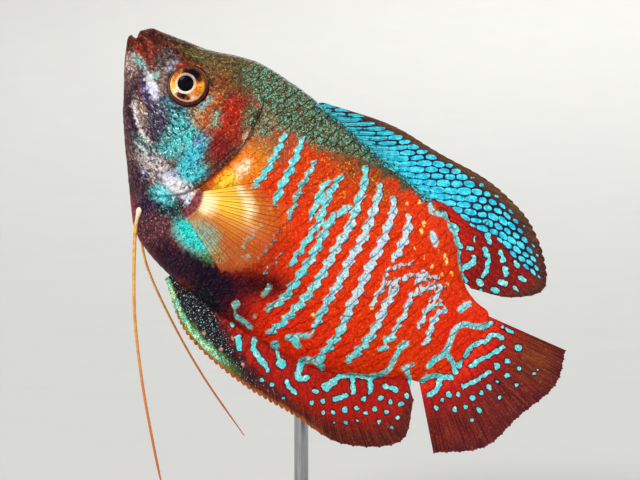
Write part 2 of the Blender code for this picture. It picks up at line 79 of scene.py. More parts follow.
# soft random waves: a sum of a few turned sine waves, about -1 to 1
def waves(s, h, size, seed=0):
    total = 0
    for k in range(5):
        turn = seed * 1.7 + k * 2.4
        pitch = (1 + 0.37 * k) / size
        run = s * math.cos(turn) + h * math.sin(turn)
        total = total + np.sin(run * pitch * 6.28 + seed * 3.1 + k * 1.3) / (1 + 0.5 * k)
    return total / 2.2


# distance from (s, h) to a bent line, and the share of the line where it is nearest
def lineDistance(s, h, points):
    points = np.asarray(points, float)
    best = np.full(np.shape(s), 1e9)
    where = np.zeros(np.shape(s))
    pieces = np.hypot(*np.diff(points, axis=0).T)
    total = pieces.sum()
    run = 0
    for (s0, h0), (s1, h1), length in zip(points[:-1], points[1:], pieces):
        t = np.clip(((s - s0) * (s1 - s0) + (h - h0) * (h1 - h0)) / length**2, 0, 1)
        d = np.hypot(s - s0 - t * (s1 - s0), h - h0 - t * (h1 - h0))
        near = d < best
        best = np.where(near, d, best)
        where = np.where(near, (run + t * length) / total, where)
        run += length
    return best, where


# a soft-edged ellipse at (cs, ch), turned by a number of degrees
def patch(s, h, cs, ch, rs, rh, turn=0.0, soft=0.4):
    a = math.radians(turn)
    x = (s - cs) * math.cos(a) + (h - ch) * math.sin(a)
    y = -(s - cs) * math.sin(a) + (h - ch) * math.cos(a)
    return 1 - ease(np.hypot(x / rs, y / rh), 1 - soft, 1 + soft)


# sRGB written as six digits, to linear light
def tint(text):
    c = np.array([int(text[k : k + 2], 16) for k in (0, 2, 4)]) / 255
    return np.where(c <= 0.04045, c / 12.92, ((c + 0.055) / 1.055) ** 2.4)


# each row is a slanted section: its top (s, h), its bottom (s, h), half width, and how pointed
# its top and bottom are
bodyLines = (
    (-0.95, -1.05, -0.95, -1.15, 0.06, 1.00, 1.00),
    (-0.72, -0.66, -0.70, -1.72, 0.72, 0.80, 0.90),
    (-0.08, -0.50, -0.05, -2.60, 1.20, 0.80, 0.95),
    (0.02, 0.80, 0.65, -3.55, 1.50, 0.75, 1.00),
    (0.60, 1.85, 1.45, -4.50, 1.72, 0.80, 1.00),
    (1.65, 2.30, 2.40, -5.50, 2.02, 0.85, 1.00),
    (3.10, 2.95, 3.60, -6.75, 2.45, 0.90, 1.00),
    (5.20, 3.85, 5.30, -8.60, 3.00, 0.85, 1.05),
    (8.20, 5.15, 7.90, -11.10, 3.60, 0.82, 1.10),
    (11.50, 7.25, 11.00, -13.70, 4.30, 0.90, 1.10),
    (14.50, 8.70, 14.50, -16.60, 5.00, 1.00, 1.00),
    (18.00, 9.50, 18.00, -19.20, 5.45, 1.05, 0.90),
    (22.00, 10.15, 21.50, -20.10, 5.65, 1.05, 0.80),
    (27.00, 10.55, 26.00, -20.20, 5.70, 1.10, 0.80),
    (33.00, 10.90, 32.00, -19.60, 5.40, 1.10, 0.90),
    (39.00, 11.30, 38.00, -18.60, 4.80, 1.10, 1.05),
    (44.00, 11.90, 43.00, -17.40, 4.15, 1.10, 1.10),
    (48.00, 11.20, 47.50, -15.90, 3.50, 1.05, 1.10),
    (51.50, 9.10, 51.50, -13.50, 2.85, 1.00, 1.05),
    (54.80, 6.70, 55.30, -10.40, 2.20, 0.95, 1.00),
    (57.50, 6.10, 58.20, -7.90, 1.55, 0.90, 0.90),
    (59.80, 6.20, 59.90, -6.80, 0.90, 0.85, 0.85),
    (61.00, 4.60, 61.00, -5.20, 0.52, 0.80, 0.80),
    (61.60, 2.40, 61.60, -3.00, 0.30, 0.80, 0.80),
)
gillEdge = (
    (15.6, 14.0),
    (17.38, 7.9),
    (19.53, 3.28),
    (20.86, -1.53),
    (20.76, -6.42),
    (19.55, -10.83),
    (15.86, -15.24),
    (12.0, -19.0),
)
eye = {"s": 9.97, "h": -0.44, "socket": 2.74}
axisHeight = -4.0  # rows of scales are counted up and down from this height


# whole rings round the body: middle of the section plus half of it times sin(turn), and across
# by the half width times cos(turn) to a power
def bodyRings(u, turn):
    rows = smoothLine(bodyLines, u)
    top, bottom = rows[:, 0:2], rows[:, 2:4]
    up, out = np.sin(turn), np.cos(turn)
    middle, half = (top + bottom) / 2, (top - bottom) / 2
    place = middle[:, None, :] + half[:, None, :] * up[None, :, None]
    power = np.where(up[None, :] > 0, rows[:, 5:6], rows[:, 6:7])
    across = -rows[:, 4:5] * np.sign(out) * np.clip(np.abs(out), 1e-9, 1) ** power
    return np.stack([place[..., 0], across, place[..., 1]], axis=-1)


# normals of whole rings: the cross product of their two slopes, turned so that they face -y at a
# point of the left flank
def ringNormals(points):
    around = (np.roll(points, -1, axis=1) - np.roll(points, 1, axis=1)) / 2
    n = np.cross(np.gradient(points, axis=0), around)
    n /= np.linalg.norm(n, axis=-1, keepdims=True) + 1e-12
    rows, columns = n.shape[:2]
    return -n if n[rows // 2, columns // 4, 1] > 0 else n


# The left flank as a table by section and by distance round it from the axis line, in steps of
# arcStep mm. Past the ridge of the back or belly it runs on down the other flank.
fineU = np.linspace(0, len(bodyLines) - 1, 700)
fineTurn = np.linspace(-math.pi / 2, 3 * math.pi / 2, 720, endpoint=False)
fineRows = np.arange(len(fineU))
arcStep = 0.1
arcSteps = np.arange(-30, 30.01, arcStep)


def flankTables():
    rings = bodyRings(fineU, fineTurn)
    outwards = ringNormals(rings)
    place = np.zeros((len(fineU), len(arcSteps), 3))
    normal = np.zeros_like(place)
    ridge = np.zeros((len(fineU), 2))
    quarter = len(fineTurn) // 4
    order = np.arange(-quarter, 3 * quarter)
    left = slice(quarter, 3 * quarter + 1)
    for i in fineRows:  # one short step for each section, never for each point
        ring, out = rings[i][order], outwards[i][order]
        around = np.concatenate([[0], np.cumsum(np.linalg.norm(np.diff(ring, axis=0), axis=1))])
        # over the first seven sections the axis line comes down from the snout's height
        zero = np.interp(axisHeight * min(1, fineU[i] / 7), ring[left, 2], around[left])
        ridge[i] = around[3 * quarter] - zero, around[quarter] - zero
        for k in range(3):
            place[i, :, k] = np.interp(arcSteps, around - zero, ring[:, k])
            normal[i, :, k] = np.interp(arcSteps, around - zero, out[:, k])
    return place, normal, ridge


arcPlace, arcNormal, ridgeArc = flankTables()
axisIndex = int(np.argmin(np.abs(arcSteps)))
axisS = arcPlace[:, axisIndex, 0]


# a value of the table between its four nearest entries
def fromTable(table, u, a):
    x = np.clip(u, 0, len(fineU) - 1.001)
    y = np.clip((a - arcSteps[0]) / arcStep, 0, len(arcSteps) - 1.001)
    i, j = x.astype(int), y.astype(int)
    fx, fy = (x - i)[..., None], (y - j)[..., None]
    return (table[i, j] * (1 - fx) + table[i + 1, j] * fx) * (1 - fy) + (
        table[i, j + 1] * (1 - fx) + table[i + 1, j + 1] * fx
    ) * fy


# a point of the left flank at s, and at a distance round the body from the axis line:
# starts at the section with that s on the axis, then steps by the error over the slope
def onFlank(s, a):
    u = np.interp(s, axisS, fineRows)
    for _ in range(4):
        here = fromTable(arcPlace, u, a)[..., 0]
        ahead = fromTable(arcPlace, u + 2, a)[..., 0]
        slope = np.where(np.abs(ahead - here) < 1e-3, 1e-3, (ahead - here) / 2)
        u = np.clip(u + np.clip((s - here) / slope, -40, 40), 0, len(fineU) - 1.01)
    place, normal = fromTable(arcPlace, u, a), fromTable(arcNormal, u, a)
    normal = normal / (np.linalg.norm(normal, axis=-1, keepdims=True) + 1e-9)
    return place, normal


# half the body's thickness at a place on the flank: the distance round the body is moved until
# the height is right
def halfWidthAt(s, h):
    s, h = np.asarray(s, float), np.asarray(h, float)
    a = h - axisHeight
    for _ in range(6):
        place, _n = onFlank(s, a)
        a = a + (h - place[..., 2])
    return -place[..., 1]


backS, backHeight = np.array(bodyLines)[2:, 0:2].T
gillS, gillHeight = shareOf(gillEdge, np.linspace(0, 1, 80))[::-1].T


# the height of the back at s
def topAt(s):
    return np.interp(s, backS, backHeight)


# s of the gill cover's rear edge at a height
def gillAt(h):
    return np.interp(h, gillHeight, gillS)


print("body shape ready")


# the fish's frame tipped nose up, in metres
def toWorld(points):
    s, y, h = points[..., 0], points[..., 1], points[..., 2]
    x = pose["snoutX"] + s * tipCos + h * tipSin
    z = pose["snoutZ"] - s * tipSin + h * tipCos
    return np.stack([x, y, z], axis=-1) * 0.001


# faces of a grid of points, closed round its second direction if wrap
def gridFaces(rows, columns, wrap=False):
    r = np.arange(rows - 1)[:, None]
    c = np.arange(columns if wrap else columns - 1)[None, :]
    n = (c + 1) % columns
    quads = [r * columns + c, r * columns + n, (r + 1) * columns + n, (r + 1) * columns + c]
    return np.stack(np.broadcast_arrays(*quads), axis=-1).reshape(-1, 4)


# The points and faces of a tube of rings, with a fan at each end round its own end point.
def closedTube(rings, ends):
    rows, columns = rings.shape[:2]
    c = np.arange(columns)
    n = (c + 1) % columns
    last, count = (rows - 1) * columns, rows * columns
    front = np.stack([n, c, np.full(columns, count)], axis=1)
    back = np.stack([last + c, last + n, np.full(columns, count + 1)], axis=1)
    points = np.concatenate([rings.reshape(-1, 3), ends])
    return points, [gridFaces(rows, columns, wrap=True), front, back]


# A mesh object from points in the fish's frame, or in the world's with world off. Values and
# colours lie on its points, and maps on its points or on its face corners.
def makePiece(name, points, faces, values=None, colours=None, maps=None, world=True):
    mesh = bpy.data.meshes.new(name)
    place = toWorld(points) if world else points * 0.001
    place = place.reshape(-1, 3)
    blocks = [np.asarray(block) for block in faces]
    # the sign of the volume between the faces and a point inside says whether they point inwards
    arm = place - place.mean(axis=0) * (1, 0, 1)
    volume = 0
    for b in blocks:
        for second in range(1, b.shape[1] - 1):
            volume += np.einsum("ij,ij->", arm[b[:, 0]], np.cross(arm[b[:, second]], arm[b[:, second + 1]]))
    inward = volume < 0
    faceLists = [(b[:, ::-1] if inward else b).tolist() for b in blocks]
    mesh.from_pydata(place.tolist(), [], sum(faceLists, []))
    mesh.update()
    for key, data in (values or {}).items():
        data = np.ascontiguousarray(data, np.float32).ravel()
        mesh.attributes.new(key, "FLOAT", "POINT").data.foreach_set("value", data)
    for key, data in (colours or {}).items():
        rgba = np.ones((len(mesh.vertices), 4), np.float32)
        rgba[:, :3] = np.asarray(data).reshape(-1, 3)
        mesh.attributes.new(key, "FLOAT_COLOR", "POINT").data.foreach_set("color", rgba.ravel())
    corner = np.empty(len(mesh.loops), np.int32)
    mesh.loops.foreach_get("vertex_index", corner)
    for key, data in (maps or {}).items():
        if isinstance(data, list):  # one array of corners for each block of faces
            uv = np.concatenate([(d[:, ::-1] if inward else d).reshape(-1, 2) for d in data])
        else:
            uv = np.asarray(data).reshape(-1, 2)[corner]
        mesh.uv_layers.new(name=key).data.foreach_set("uv", np.ascontiguousarray(uv, np.float32).ravel())
    mesh.shade_smooth()
    piece = bpy.data.objects.new(name, mesh)
    bpy.context.scene.collection.objects.link(piece)
    return piece


# a piece's finish, its body, its slot, which is not used, and the solids that it takes the place of
def wear(piece, finish, slot, *nodes):
    piece.data.materials.append(finish)
    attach(piece, "root")
    if nodes:
        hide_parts(*nodes)


class Wire:  # one socket; arithmetic on it adds Math nodes
    def __init__(self, tree, socket):
        self.tree, self.socket = tree, socket

    # any node: its type, its settings, what goes in, and which output comes back
    def node(self, kind, settings=None, inputs=None, out=0):
        made = self.tree.nodes.new(kind)
        for key, value in (settings or {}).items():
            setattr(made, key, value)
        for key, value in (inputs or {}).items():
            if isinstance(value, Wire):
                self.tree.links.new(value.socket, made.inputs[key])
            else:
                made.inputs[key].default_value = value
        return Wire(self.tree, made.outputs[out])

    def math(self, operation, *values):
        return self.node("ShaderNodeMath", {"operation": operation}, dict(enumerate(values)))

    def __add__(self, other):
        return self.math("ADD", self, other)

    def __sub__(self, other):
        return self.math("SUBTRACT", self, other)

    def __mul__(self, other):
        return self.math("MULTIPLY", self, other)

    def __truediv__(self, other):
        return self.math("DIVIDE", self, other)

    def __pow__(self, other):
        return self.math("POWER", self, other)

    def __rsub__(self, other):
        return self.math("SUBTRACT", other, self)

    def __rtruediv__(self, other):
        return self.math("DIVIDE", other, self)

    __radd__ = __add__
    __rmul__ = __mul__

    def __abs__(self):
        return self.math("ABSOLUTE", self)

    # 0 at lo, 1 at hi, either way round, an S curve between
    def ease(self, lo, hi):
        settings = {"interpolation_type": "SMOOTHSTEP"}
        return self.node("ShaderNodeMapRange", settings, {0: self, 1: lo, 2: hi})

    def floor(self):
        return self.math("FLOOR", self)

    def fract(self):
        return self.math("FRACT", self)

    # three numbers as one place
    def joined(self, x, y, z=0.0):
        return self.node("ShaderNodeCombineXYZ", {}, {0: x, 1: y, 2: z})

    def largest(self, other):
        return self.math("MAXIMUM", self, other)

    def smallest(self, other):
        return self.math("MINIMUM", self, other)

    def noise(self, scale, detail=2.0, rough=0.5):
        inputs = {"Vector": self, "Scale": scale, "Detail": detail, "Roughness": rough}
        return self.node("ShaderNodeTexNoise", {}, inputs)

    # the distance to the nearest edge between uneven cells
    def cellEdges(self, scale):
        settings = {"feature": "DISTANCE_TO_EDGE"}
        return self.node("ShaderNodeTexVoronoi", settings, {"Vector": self, "Scale": scale})

    # a colour between two, each a wire or six digits, by how much; colours are sockets 6, 7 and 2
    def mixed(self, first, second, how="MIX"):
        a, b = (v if isinstance(v, Wire) else (*tint(v), 1) for v in (first, second))
        settings = {"data_type": "RGBA", "blend_type": how}
        return self.node("ShaderNodeMix", settings, {0: self, 6: a, 7: b}, 2)


# a new material: returns it, its shader, and a wire to start from
def newFinish(name, **constants):
    finish = bpy.data.materials.new(name)
    finish.use_nodes = True
    tree = finish.node_tree
    shader = tree.nodes["Principled BSDF"]
    for key, value in constants.items():
        shader.inputs[key.replace("_", " ")].default_value = value
    place = Wire(tree, tree.nodes.new("ShaderNodeTexCoord").outputs["Object"])
    return finish, shader, place


# joins wires to the shader's inputs
def feed(place, shader, **wires):
    for key, wire in wires.items():
        place.tree.links.new(wire.socket, shader.inputs[key.replace("_", " ")])


def attribute(place, name, out="Fac"):
    return place.node("ShaderNodeAttribute", {"attribute_name": name}, {}, out)


# the two coordinates of a map
def mapOf(place, name):
    uv = place.node("ShaderNodeUVMap", {"uv_map": name})
    return [place.node("ShaderNodeSeparateXYZ", {}, {0: uv}, axis) for axis in (0, 1)]


def bumped(place, height, strength, distance):
    inputs = {"Height": height, "Strength": strength, "Distance": distance}
    return place.node("ShaderNodeBump", {}, inputs)


# the colours of the flanks, as functions of s and h
picture = {
    "snout": (140.0, 35.0),  # where s and h are 0
    "scale": 0.135,  # mm to a pixel
    "middle": (320.0, 240.0),
    "distance": 240.0,  # mm from the eye of the viewer to the middle of the fish
}


# Where a point of either flank stands in the side view that the markings were read from, in its
# pixels. What lies nearer the viewer stands a little further out from the middle.
def onPicture(points):
    s, y, h = points[..., 0], points[..., 1], points[..., 2]
    px = picture["snout"][0] + (s * tipCos + h * tipSin) / picture["scale"]
    py = picture["snout"][1] + (s * tipSin - h * tipCos) / picture["scale"]
    grow = 1 / (1 - np.abs(y) / picture["distance"])
    mx, my = picture["middle"]
    return mx + (px - mx) * grow, my + (py - my) * grow


# the s and h that a place on the side view would have on the fish's middle plane
def fromPicture(px, py):
    dx, dy = px - picture["snout"][0], py - picture["snout"][1]
    scale = picture["scale"]
    return (dx * tipCos + dy * tipSin) * scale, (dx * tipSin - dy * tipCos) * scale


bluePaint = {"cyan": "58D8D8", "lavender": "D0DAE8", "teal": "5CAA90"}

# Regions of the side view, the later over the earlier: x, y, half length, half height, turn in
# degrees, softness, then three colours: the paint, the freckles in it, and the sparks on them.
headRegions = {
    "brow": (178, 46, 36, 13, 24, 0.5, "6A4024", "35241A", "96603A"),
    "backOfBrow": (212, 60, 32, 13, 20, 0.6, "60562E", "2E2E1C", "94865A"),
    "nape": (240, 80, 22, 12, 32, 0.8, "5E4C2C", "2A3422", "7E9068"),
    "redStreak": (174, 53, 16, 5, 42, 0.6, "7E3222", "4C241A", "A8583A"),
    "upperLip": (150, 38, 12, 10, 0, 0.4, "5A2622", "48201C", "86443A"),
    "lowerLip": (131, 43, 9, 9, 0, 0.4, "6A2E1C", "50241A", "8A442A"),
    "jaw": (131, 69, 9, 16, 0, 0.5, "DCBEAC", "8C6C5E", "FFF0E4"),
    "cheekBase": (146, 114, 22, 50, -4, 0.4, "5E4650", "40293A", "A08890"),
    "jawRim": (126, 112, 4.5, 50, -4, 0.5, "7A5A5A", "6A4A4C", "927272"),
    "jawPurple": (131, 122, 30, 4.5, 82, 0.6, "54344A", "3A2236", "77566A"),
    "mouthRed": (149, 54, 8, 15, -8, 0.5, "9C3A2A", "7E3428", "C05A48"),
    "lipRed": (138, 48, 6, 3, 30, 0.6, "A03424", "702018", "D05A40"),
    "jawTeal": (139, 61, 10, 4, 51, 0.6, "9CC8B8", "7AA89C", "D8ECE0"),
    "snoutGrey": (165, 60, 12, 13, 30, 0.5, "705A52", "3E2C2C", "A29AA4"),
    "eyeFront": (171, 66, 9, 4, -45, 0.6, "A4A2AE", "8A8490", "C8C8D8"),
    "eyeFrontLow": (163, 84, 6, 13, -5, 0.5, "9C7A6C", "80665E", "B89A8C"),
    "brownStreaks": (142, 98, 20, 5, 75, 0.6, "7A4A46", "54303A", "B08078"),
    "violet": (147, 93, 13, 5, 72, 0.6, "5C5488", "2C2040", "B4ACE4"),
    # partly the cheek's own silver, partly a painted highlight of the light on it
    "silverAndHighlight": (152, 86, 15, 5, 72, 0.45, "F4F2FA", "D4D0E8", "FFFFFF"),
    "silverTop": (156, 75, 4, 4, 0, 0.6, "A8D4C8", "88B0A8", "E8F8F0"),
    "peach": (142, 113, 14, 5, 68, 0.6, "DCC0A4", "906C60", "FFF4E8"),
    "tealDark": (174, 107, 16, 9, 35, 0.5, "56909E", "28324C", "B0DCE0"),
    "tealUnder": (178, 120, 20, 10, 20, 0.5, "4AAEB2", "1A3444", "A8F4EA"),
    "teal": (181, 136, 21, 13, 15, 0.5, "4ACCCC", "165058", "B0FAF0"),
    "tealLow": (170, 150, 14, 9, 0, 0.6, "44BEBE", "2A4450", "D0FAF4"),
    "darkCheek": (158, 119, 12, 15, -25, 0.6, "5A4A64", "2A2038", "B8CCD8"),
    "coverCyan": (192, 157, 24, 8, -54, 0.5, "3CC8DA", "1E6280", "9CF4F4"),
    "coverCyanLow": (192, 173, 15, 10, -10, 0.5, "3ED0DA", "186070", "A0F8F0"),
    "lavenderSpot": (198, 141, 4, 3, -20, 0.8, "7A88C0", "2A4A70", "D0C8F0"),
    "tealStreaks": (145, 148, 15, 6, 55, 0.6, "7CB8AC", "453A4A", "E4F4EC"),
    "whiteGrain": (153, 166, 20, 11, 44, 0.6, "D8CAC6", "5E4856", "FFF8F2"),
    "blueGrain": (140, 175, 8, 6, 30, 0.6, "8A94B8", "36243E", "DCE4F4"),
    "lavenderGrain": (170, 177, 10, 7, 0, 0.6, "B8BCD8", "5C5070", "F4F0FC"),
    "eyeBack": (218, 80, 16, 20, 10, 0.5, "76542E", "3C2C1A", "A8764A"),
    "eyeBackRed": (222, 82, 8, 6, 0, 0.6, "94401E", "583018", "B8602E"),
    "coverOrange": (213, 100, 12, 11, -30, 0.6, "B8501C", "6A3A1C", "E89A40"),
    "eyeRim": (203, 105, 12, 2.6, -45, 0.5, "86DCD8", "4A989C", "DCF8F4"),
    "cheekPeach": (200, 117, 10, 9, 40, 0.6, "C49058", "6A4830", "F4D8A8"),
    "coverCopper": (209, 119, 9, 12, 30, 0.6, "B0501E", "6A3A1C", "E0985A"),
    "coverRed": (232, 113, 12, 17, 20, 0.6, "B81C0A", "721A0E", "E8602A"),
    "coverRust": (228, 133, 17, 14, 20, 0.6, "A0240E", "621A0E", "DC6430"),
    "coverMaroon": (220, 149, 10, 14, 15, 0.6, "7A1216", "4C0C10", "AA382C"),
    "greenSpot": (216, 115, 5, 4.5, 0, 0.5, "809A7C", "2E3A26", "C4DCC4"),
    "greenSpotLow": (215, 124, 5, 3.5, 0, 0.5, "889C7C", "3A3A26", "C4DCC4"),
    "coverGreen": (247, 116, 5, 13, 15, 0.6, "6A4E2C", "6A301C", "86A070"),
    "coverEdge": (246, 141, 13, 3, 118, 0.6, "D8B890", "B08060", "F8ECD8"),
}
flankRegions = {
    "upperFlank": (325, 178, 70, 30, 38, 0.8, "E23A0A", "B8340C", "F07820"),
    "upperSpeck": (345, 158, 62, 13, 42, 0.6, "C83A10", "564418", "D8A040"),
    "foot": (275, 325, 75, 32, 30, 0.7, "E82A0A", "C81E08", "F04A18"),
    "tailRoot": (470, 335, 50, 30, 30, 0.7, "EE2C0A", "D02008", "F44A18"),
    "shoulder": (268, 138, 24, 30, 25, 0.6, "B04A1E", "585838", "7AAC94"),
    "shoulderOlive": (310, 128, 34, 13, 34, 0.6, "9A4A24", "50583C", "6AA890"),
    "goldOrange": (244, 170, 30, 17, -45, 0.6, "F0861A", "DC6810", "F8C040"),
    "gold": (226, 182, 15, 8, -42, 0.6, "FFDA20", "F4AA14", "FFF07C"),
    # painted highlight: a near-white spot of light on the gold patch behind the gill cover
    "goldHighlight": (243, 168, 10, 5, -42, 0.6, "FFF0D0", "F4C26A", "FFFFFF"),
    "underFin": (250, 214, 32, 22, 20, 0.6, "EE7420", "D85C18", "F8AC50"),
    "rust": (240, 256, 26, 11, 8, 0.6, "C04A18", "A03414", "D87830"),
    "bellyRear": (258, 284, 34, 14, 8, 0.7, "4A0A0E", "340810", "7A1810"),
    "bellyRed": (230, 312, 26, 12, 40, 0.7, "7E1410", "5A1014", "B02A18"),
    "bellyBrown": (158, 235, 19, 22, 35, 0.5, "60343A", "3A1C26", "9A686C"),
    "belly": (204, 275, 52, 20, 34, 0.45, "1C0A1E", "140816", "44243C"),
    "bellyPurple": (172, 262, 26, 16, 46, 0.6, "30182A", "1E0C1E", "4E303E"),
    "breastTop": (180, 221, 10, 6, 0, 0.6, "4AA8A0", "243438", "90E0D0"),
    "breastGreen": (212, 254, 14, 7, 10, 0.6, "6AAE78", "34342A", "C8E890"),
    "breastEdge": (217, 240, 6, 11, 0, 0.6, "8AA860", "A4602C", "C8D890"),
    "breast": (197, 234, 23, 16, 22, 0.3, "20F0E4", "128890", "A0FFF4"),
    "underCover": (204, 186, 10, 5, -20, 0.6, "C4681C", "8A3A14", "F0B040"),
    "analFoot": (206, 300, 24, 11, 40, 0.5, "170C1C", "0A0610", "30484E"),
}
throatRegions = {
    "neck": (158, 203, 30, 16, 10, 0.4, "3A2436", "241422", "6A4A5C"),
    "breastBrown": (149, 224, 21, 16, 42, 0.4, "66383E", "361A24", "A8787C"),
    "jawLow": (138, 186, 25, 6, 82, 0.5, "5A3A46", "3A2432", "86646E"),
    "throatDark": (149, 205, 11, 8, 0, 0.5, "30203A", "160A1C", "64486A"),
    "throatSpeck": (172, 209, 13, 8, 0, 0.5, "2A3A40", "14141C", "58B4AC"),
    "lowCyan": (163, 194, 13, 8, 24, 0.5, "6CF0F6", "2E7C8C", "C8FFFC"),
    "lowLavender": (186, 194, 8, 6, 20, 0.6, "D0CCE0", "7A7C9C", "FFFFFF"),
    "lowWhite": (179, 187, 17, 7, 24, 0.5, "FFFFFC", "DCD8E0", "FFFFFF"),
}
# narrow marks: three colours, half width, and the line
streaks = {
    "jaw": ("F4ECE8", "A08890", "FFFFFF", 1.9,
            (131, 97), (134, 108), (137, 120), (141, 130), (147, 139), (152, 146)),
    "jawEnd": ("DCE8E4", "6A5C68", "FFFFFF", 1.5, (138, 142), (143, 149), (149, 156), (156, 164)),
    "armpit": ("7A2030", "5A1824", "A04048", 3.2, (180, 211), (186, 213), (192, 209)),
    "hook": ("C8D4EA", "7A90B8", "FFFFFF", 2.6, (183, 197), (188, 200), (187, 208)),
    "coverLine": ("4A1C22", "2E1216", "A85040", 0.9, (171, 185), (184, 187), (196, 188), (209, 187)),
}
# the line along the foot of the dorsal fin
dorsalFoot = (
    (322, 104), (335, 112), (352, 126), (366, 139), (380, 152), (396, 166), (410, 178), (428, 194),
)
# softer regions that turn the scales green and the blues lavender, and the painted shade that the pectoral
# fin casts, which dulls the blues
speckPatches = {
    "nape": (262, 122, 20, 22, 20, 0.6),
    "lavender": (385, 262, 62, 78, 30, 0.5),
    "lavenderRear": (430, 310, 40, 36, 0, 0.5),
    # painted shade cast by the pectoral fin, beside its tips and below it
    "finShade": (296, 205, 44, 10, -64, 0.4),
    "finShadeBelly": (252, 284, 34, 34, 0, 0.4),
}
# how far the olive of the skin and the green of the scales come down from the ridge of the back,
# in mm, at each s
olive = {
    "skin": ((5, 10, 16, 22, 28, 34, 38, 42, 45), (1.0, 2.4, 4.4, 5.6, 4.4, 2.6, 1.6, 0.7, 0)),
    "scales": ((5, 10, 16, 22, 28, 32, 36, 40), (0.2, 1.4, 4.2, 6.0, 4.6, 2.2, 0.8, 0)),
}
fleckPixels = 4.5  # radius of a yellow fleck
yellowFlecks = (
    (424, 223), (421, 232), (415, 247), (424, 257), (438, 252), (445, 256), (432, 266), (446, 262),
    (451, 273), (441, 275), (448, 284), (407, 203), (419, 203), (345, 192), (372, 307), (316, 316),
    (269, 290), (313, 315),
)


# three layers of colour for the points: paint, freckles and sparks
def flankColours(points):
    px, py = onPicture(points)
    s, h = fromPicture(px, py)
    below = topAt(s) - h
    layers = [np.broadcast_to(tint(c), (*s.shape, 3)).copy() for c in ("E83408", "D22604", "F05A16")]

    def over(mask, colours):
        part = np.clip(mask, 0, 1)[..., None]
        for layer, colour in zip(layers, colours):
            layer += (tint(colour) - layer) * part

    def overEach(regions, share=1):
        for *form, first, second, third in regions.values():
            over(share * patch(qx, qy, *form), (first, second, third))

    # borders wander a little from the plain ellipses
    qx = px + 2.0 * waves(px, py, 9, 1) + 1.4 * waves(px, py, 4, 6)
    qy = py + 2.0 * waves(px, py, 9, 3) + 1.4 * waves(px, py, 4, 7)
    overEach(flankRegions)
    # the olive back, deepest behind the nape and gone by the rear of the dorsal fin
    depth = np.interp(s, *olive["skin"])
    back = 1 - ease(below + waves(s, h, 3.1, 2) * 0.9, depth * 0.6, depth * 1.3 + 0.1)
    over(back * (s < 46), ("6A5430", "41442E", "8C6A34"))
    blend = 2.5 * ease(points[..., 2], 1.5, 6.0)  # the head's colours run into the back's at the nape
    head = 1 - ease(points[..., 0] - gillAt(points[..., 2]), -0.25 - blend, 0.05 + blend)
    over(head * ease(below, 2.5, 6.0), ("683C2C", "3A241C", "96685A"))
    overEach(headRegions, head)
    overEach(throatRegions)
    for first, second, third, halfWidth, *line in streaks.values():
        away, along = lineDistance(qx, qy, line)
        mask = (1 - ease(away, halfWidth * 0.4, halfWidth * 1.6)) * (1 - (2 * along - 1) ** 6)
        over(mask, (first, second, third))
    return {"paint": layers[0], "freckles": layers[1], "sparks": layers[2]}


# how green the scales are, 0 to 1, how thick the specks at the dorsal fin's foot, how near
# a yellow fleck is, how lavender the blues are, and how much painted shade of the pectoral fin dulls them
def speckWeights(points):
    px, py = onPicture(points)
    s, h = fromPicture(px, py)
    soft = {name: patch(px, py, *form) for name, form in speckPatches.items()}
    depth = np.interp(s, *olive["scales"])
    nape = (1 - ease(topAt(s) - h, depth * 0.5, depth * 1.35 + 0.1)) * ease(s, 10, 18) * (s < 40)
    foot = 1 - ease(lineDistance(px, py, dorsalFoot)[0], 1, 15)
    yellow = np.full(s.shape, 99.0)
    for x, y in yellowFlecks:
        yellow = np.minimum(yellow, np.hypot((px - x) * 1.25, py - y))
    return {
        "nape": np.maximum(nape, 0.5 * soft["nape"]) * (1 - foot),
        "foot": foot,
        "yellow": 1 - yellow / fleckPixels,
        "lavender": np.maximum(soft["lavender"], 0.8 * soft["lavenderRear"]),
        "finShade": np.maximum(soft["finShade"], soft["finShadeBelly"]),
    }


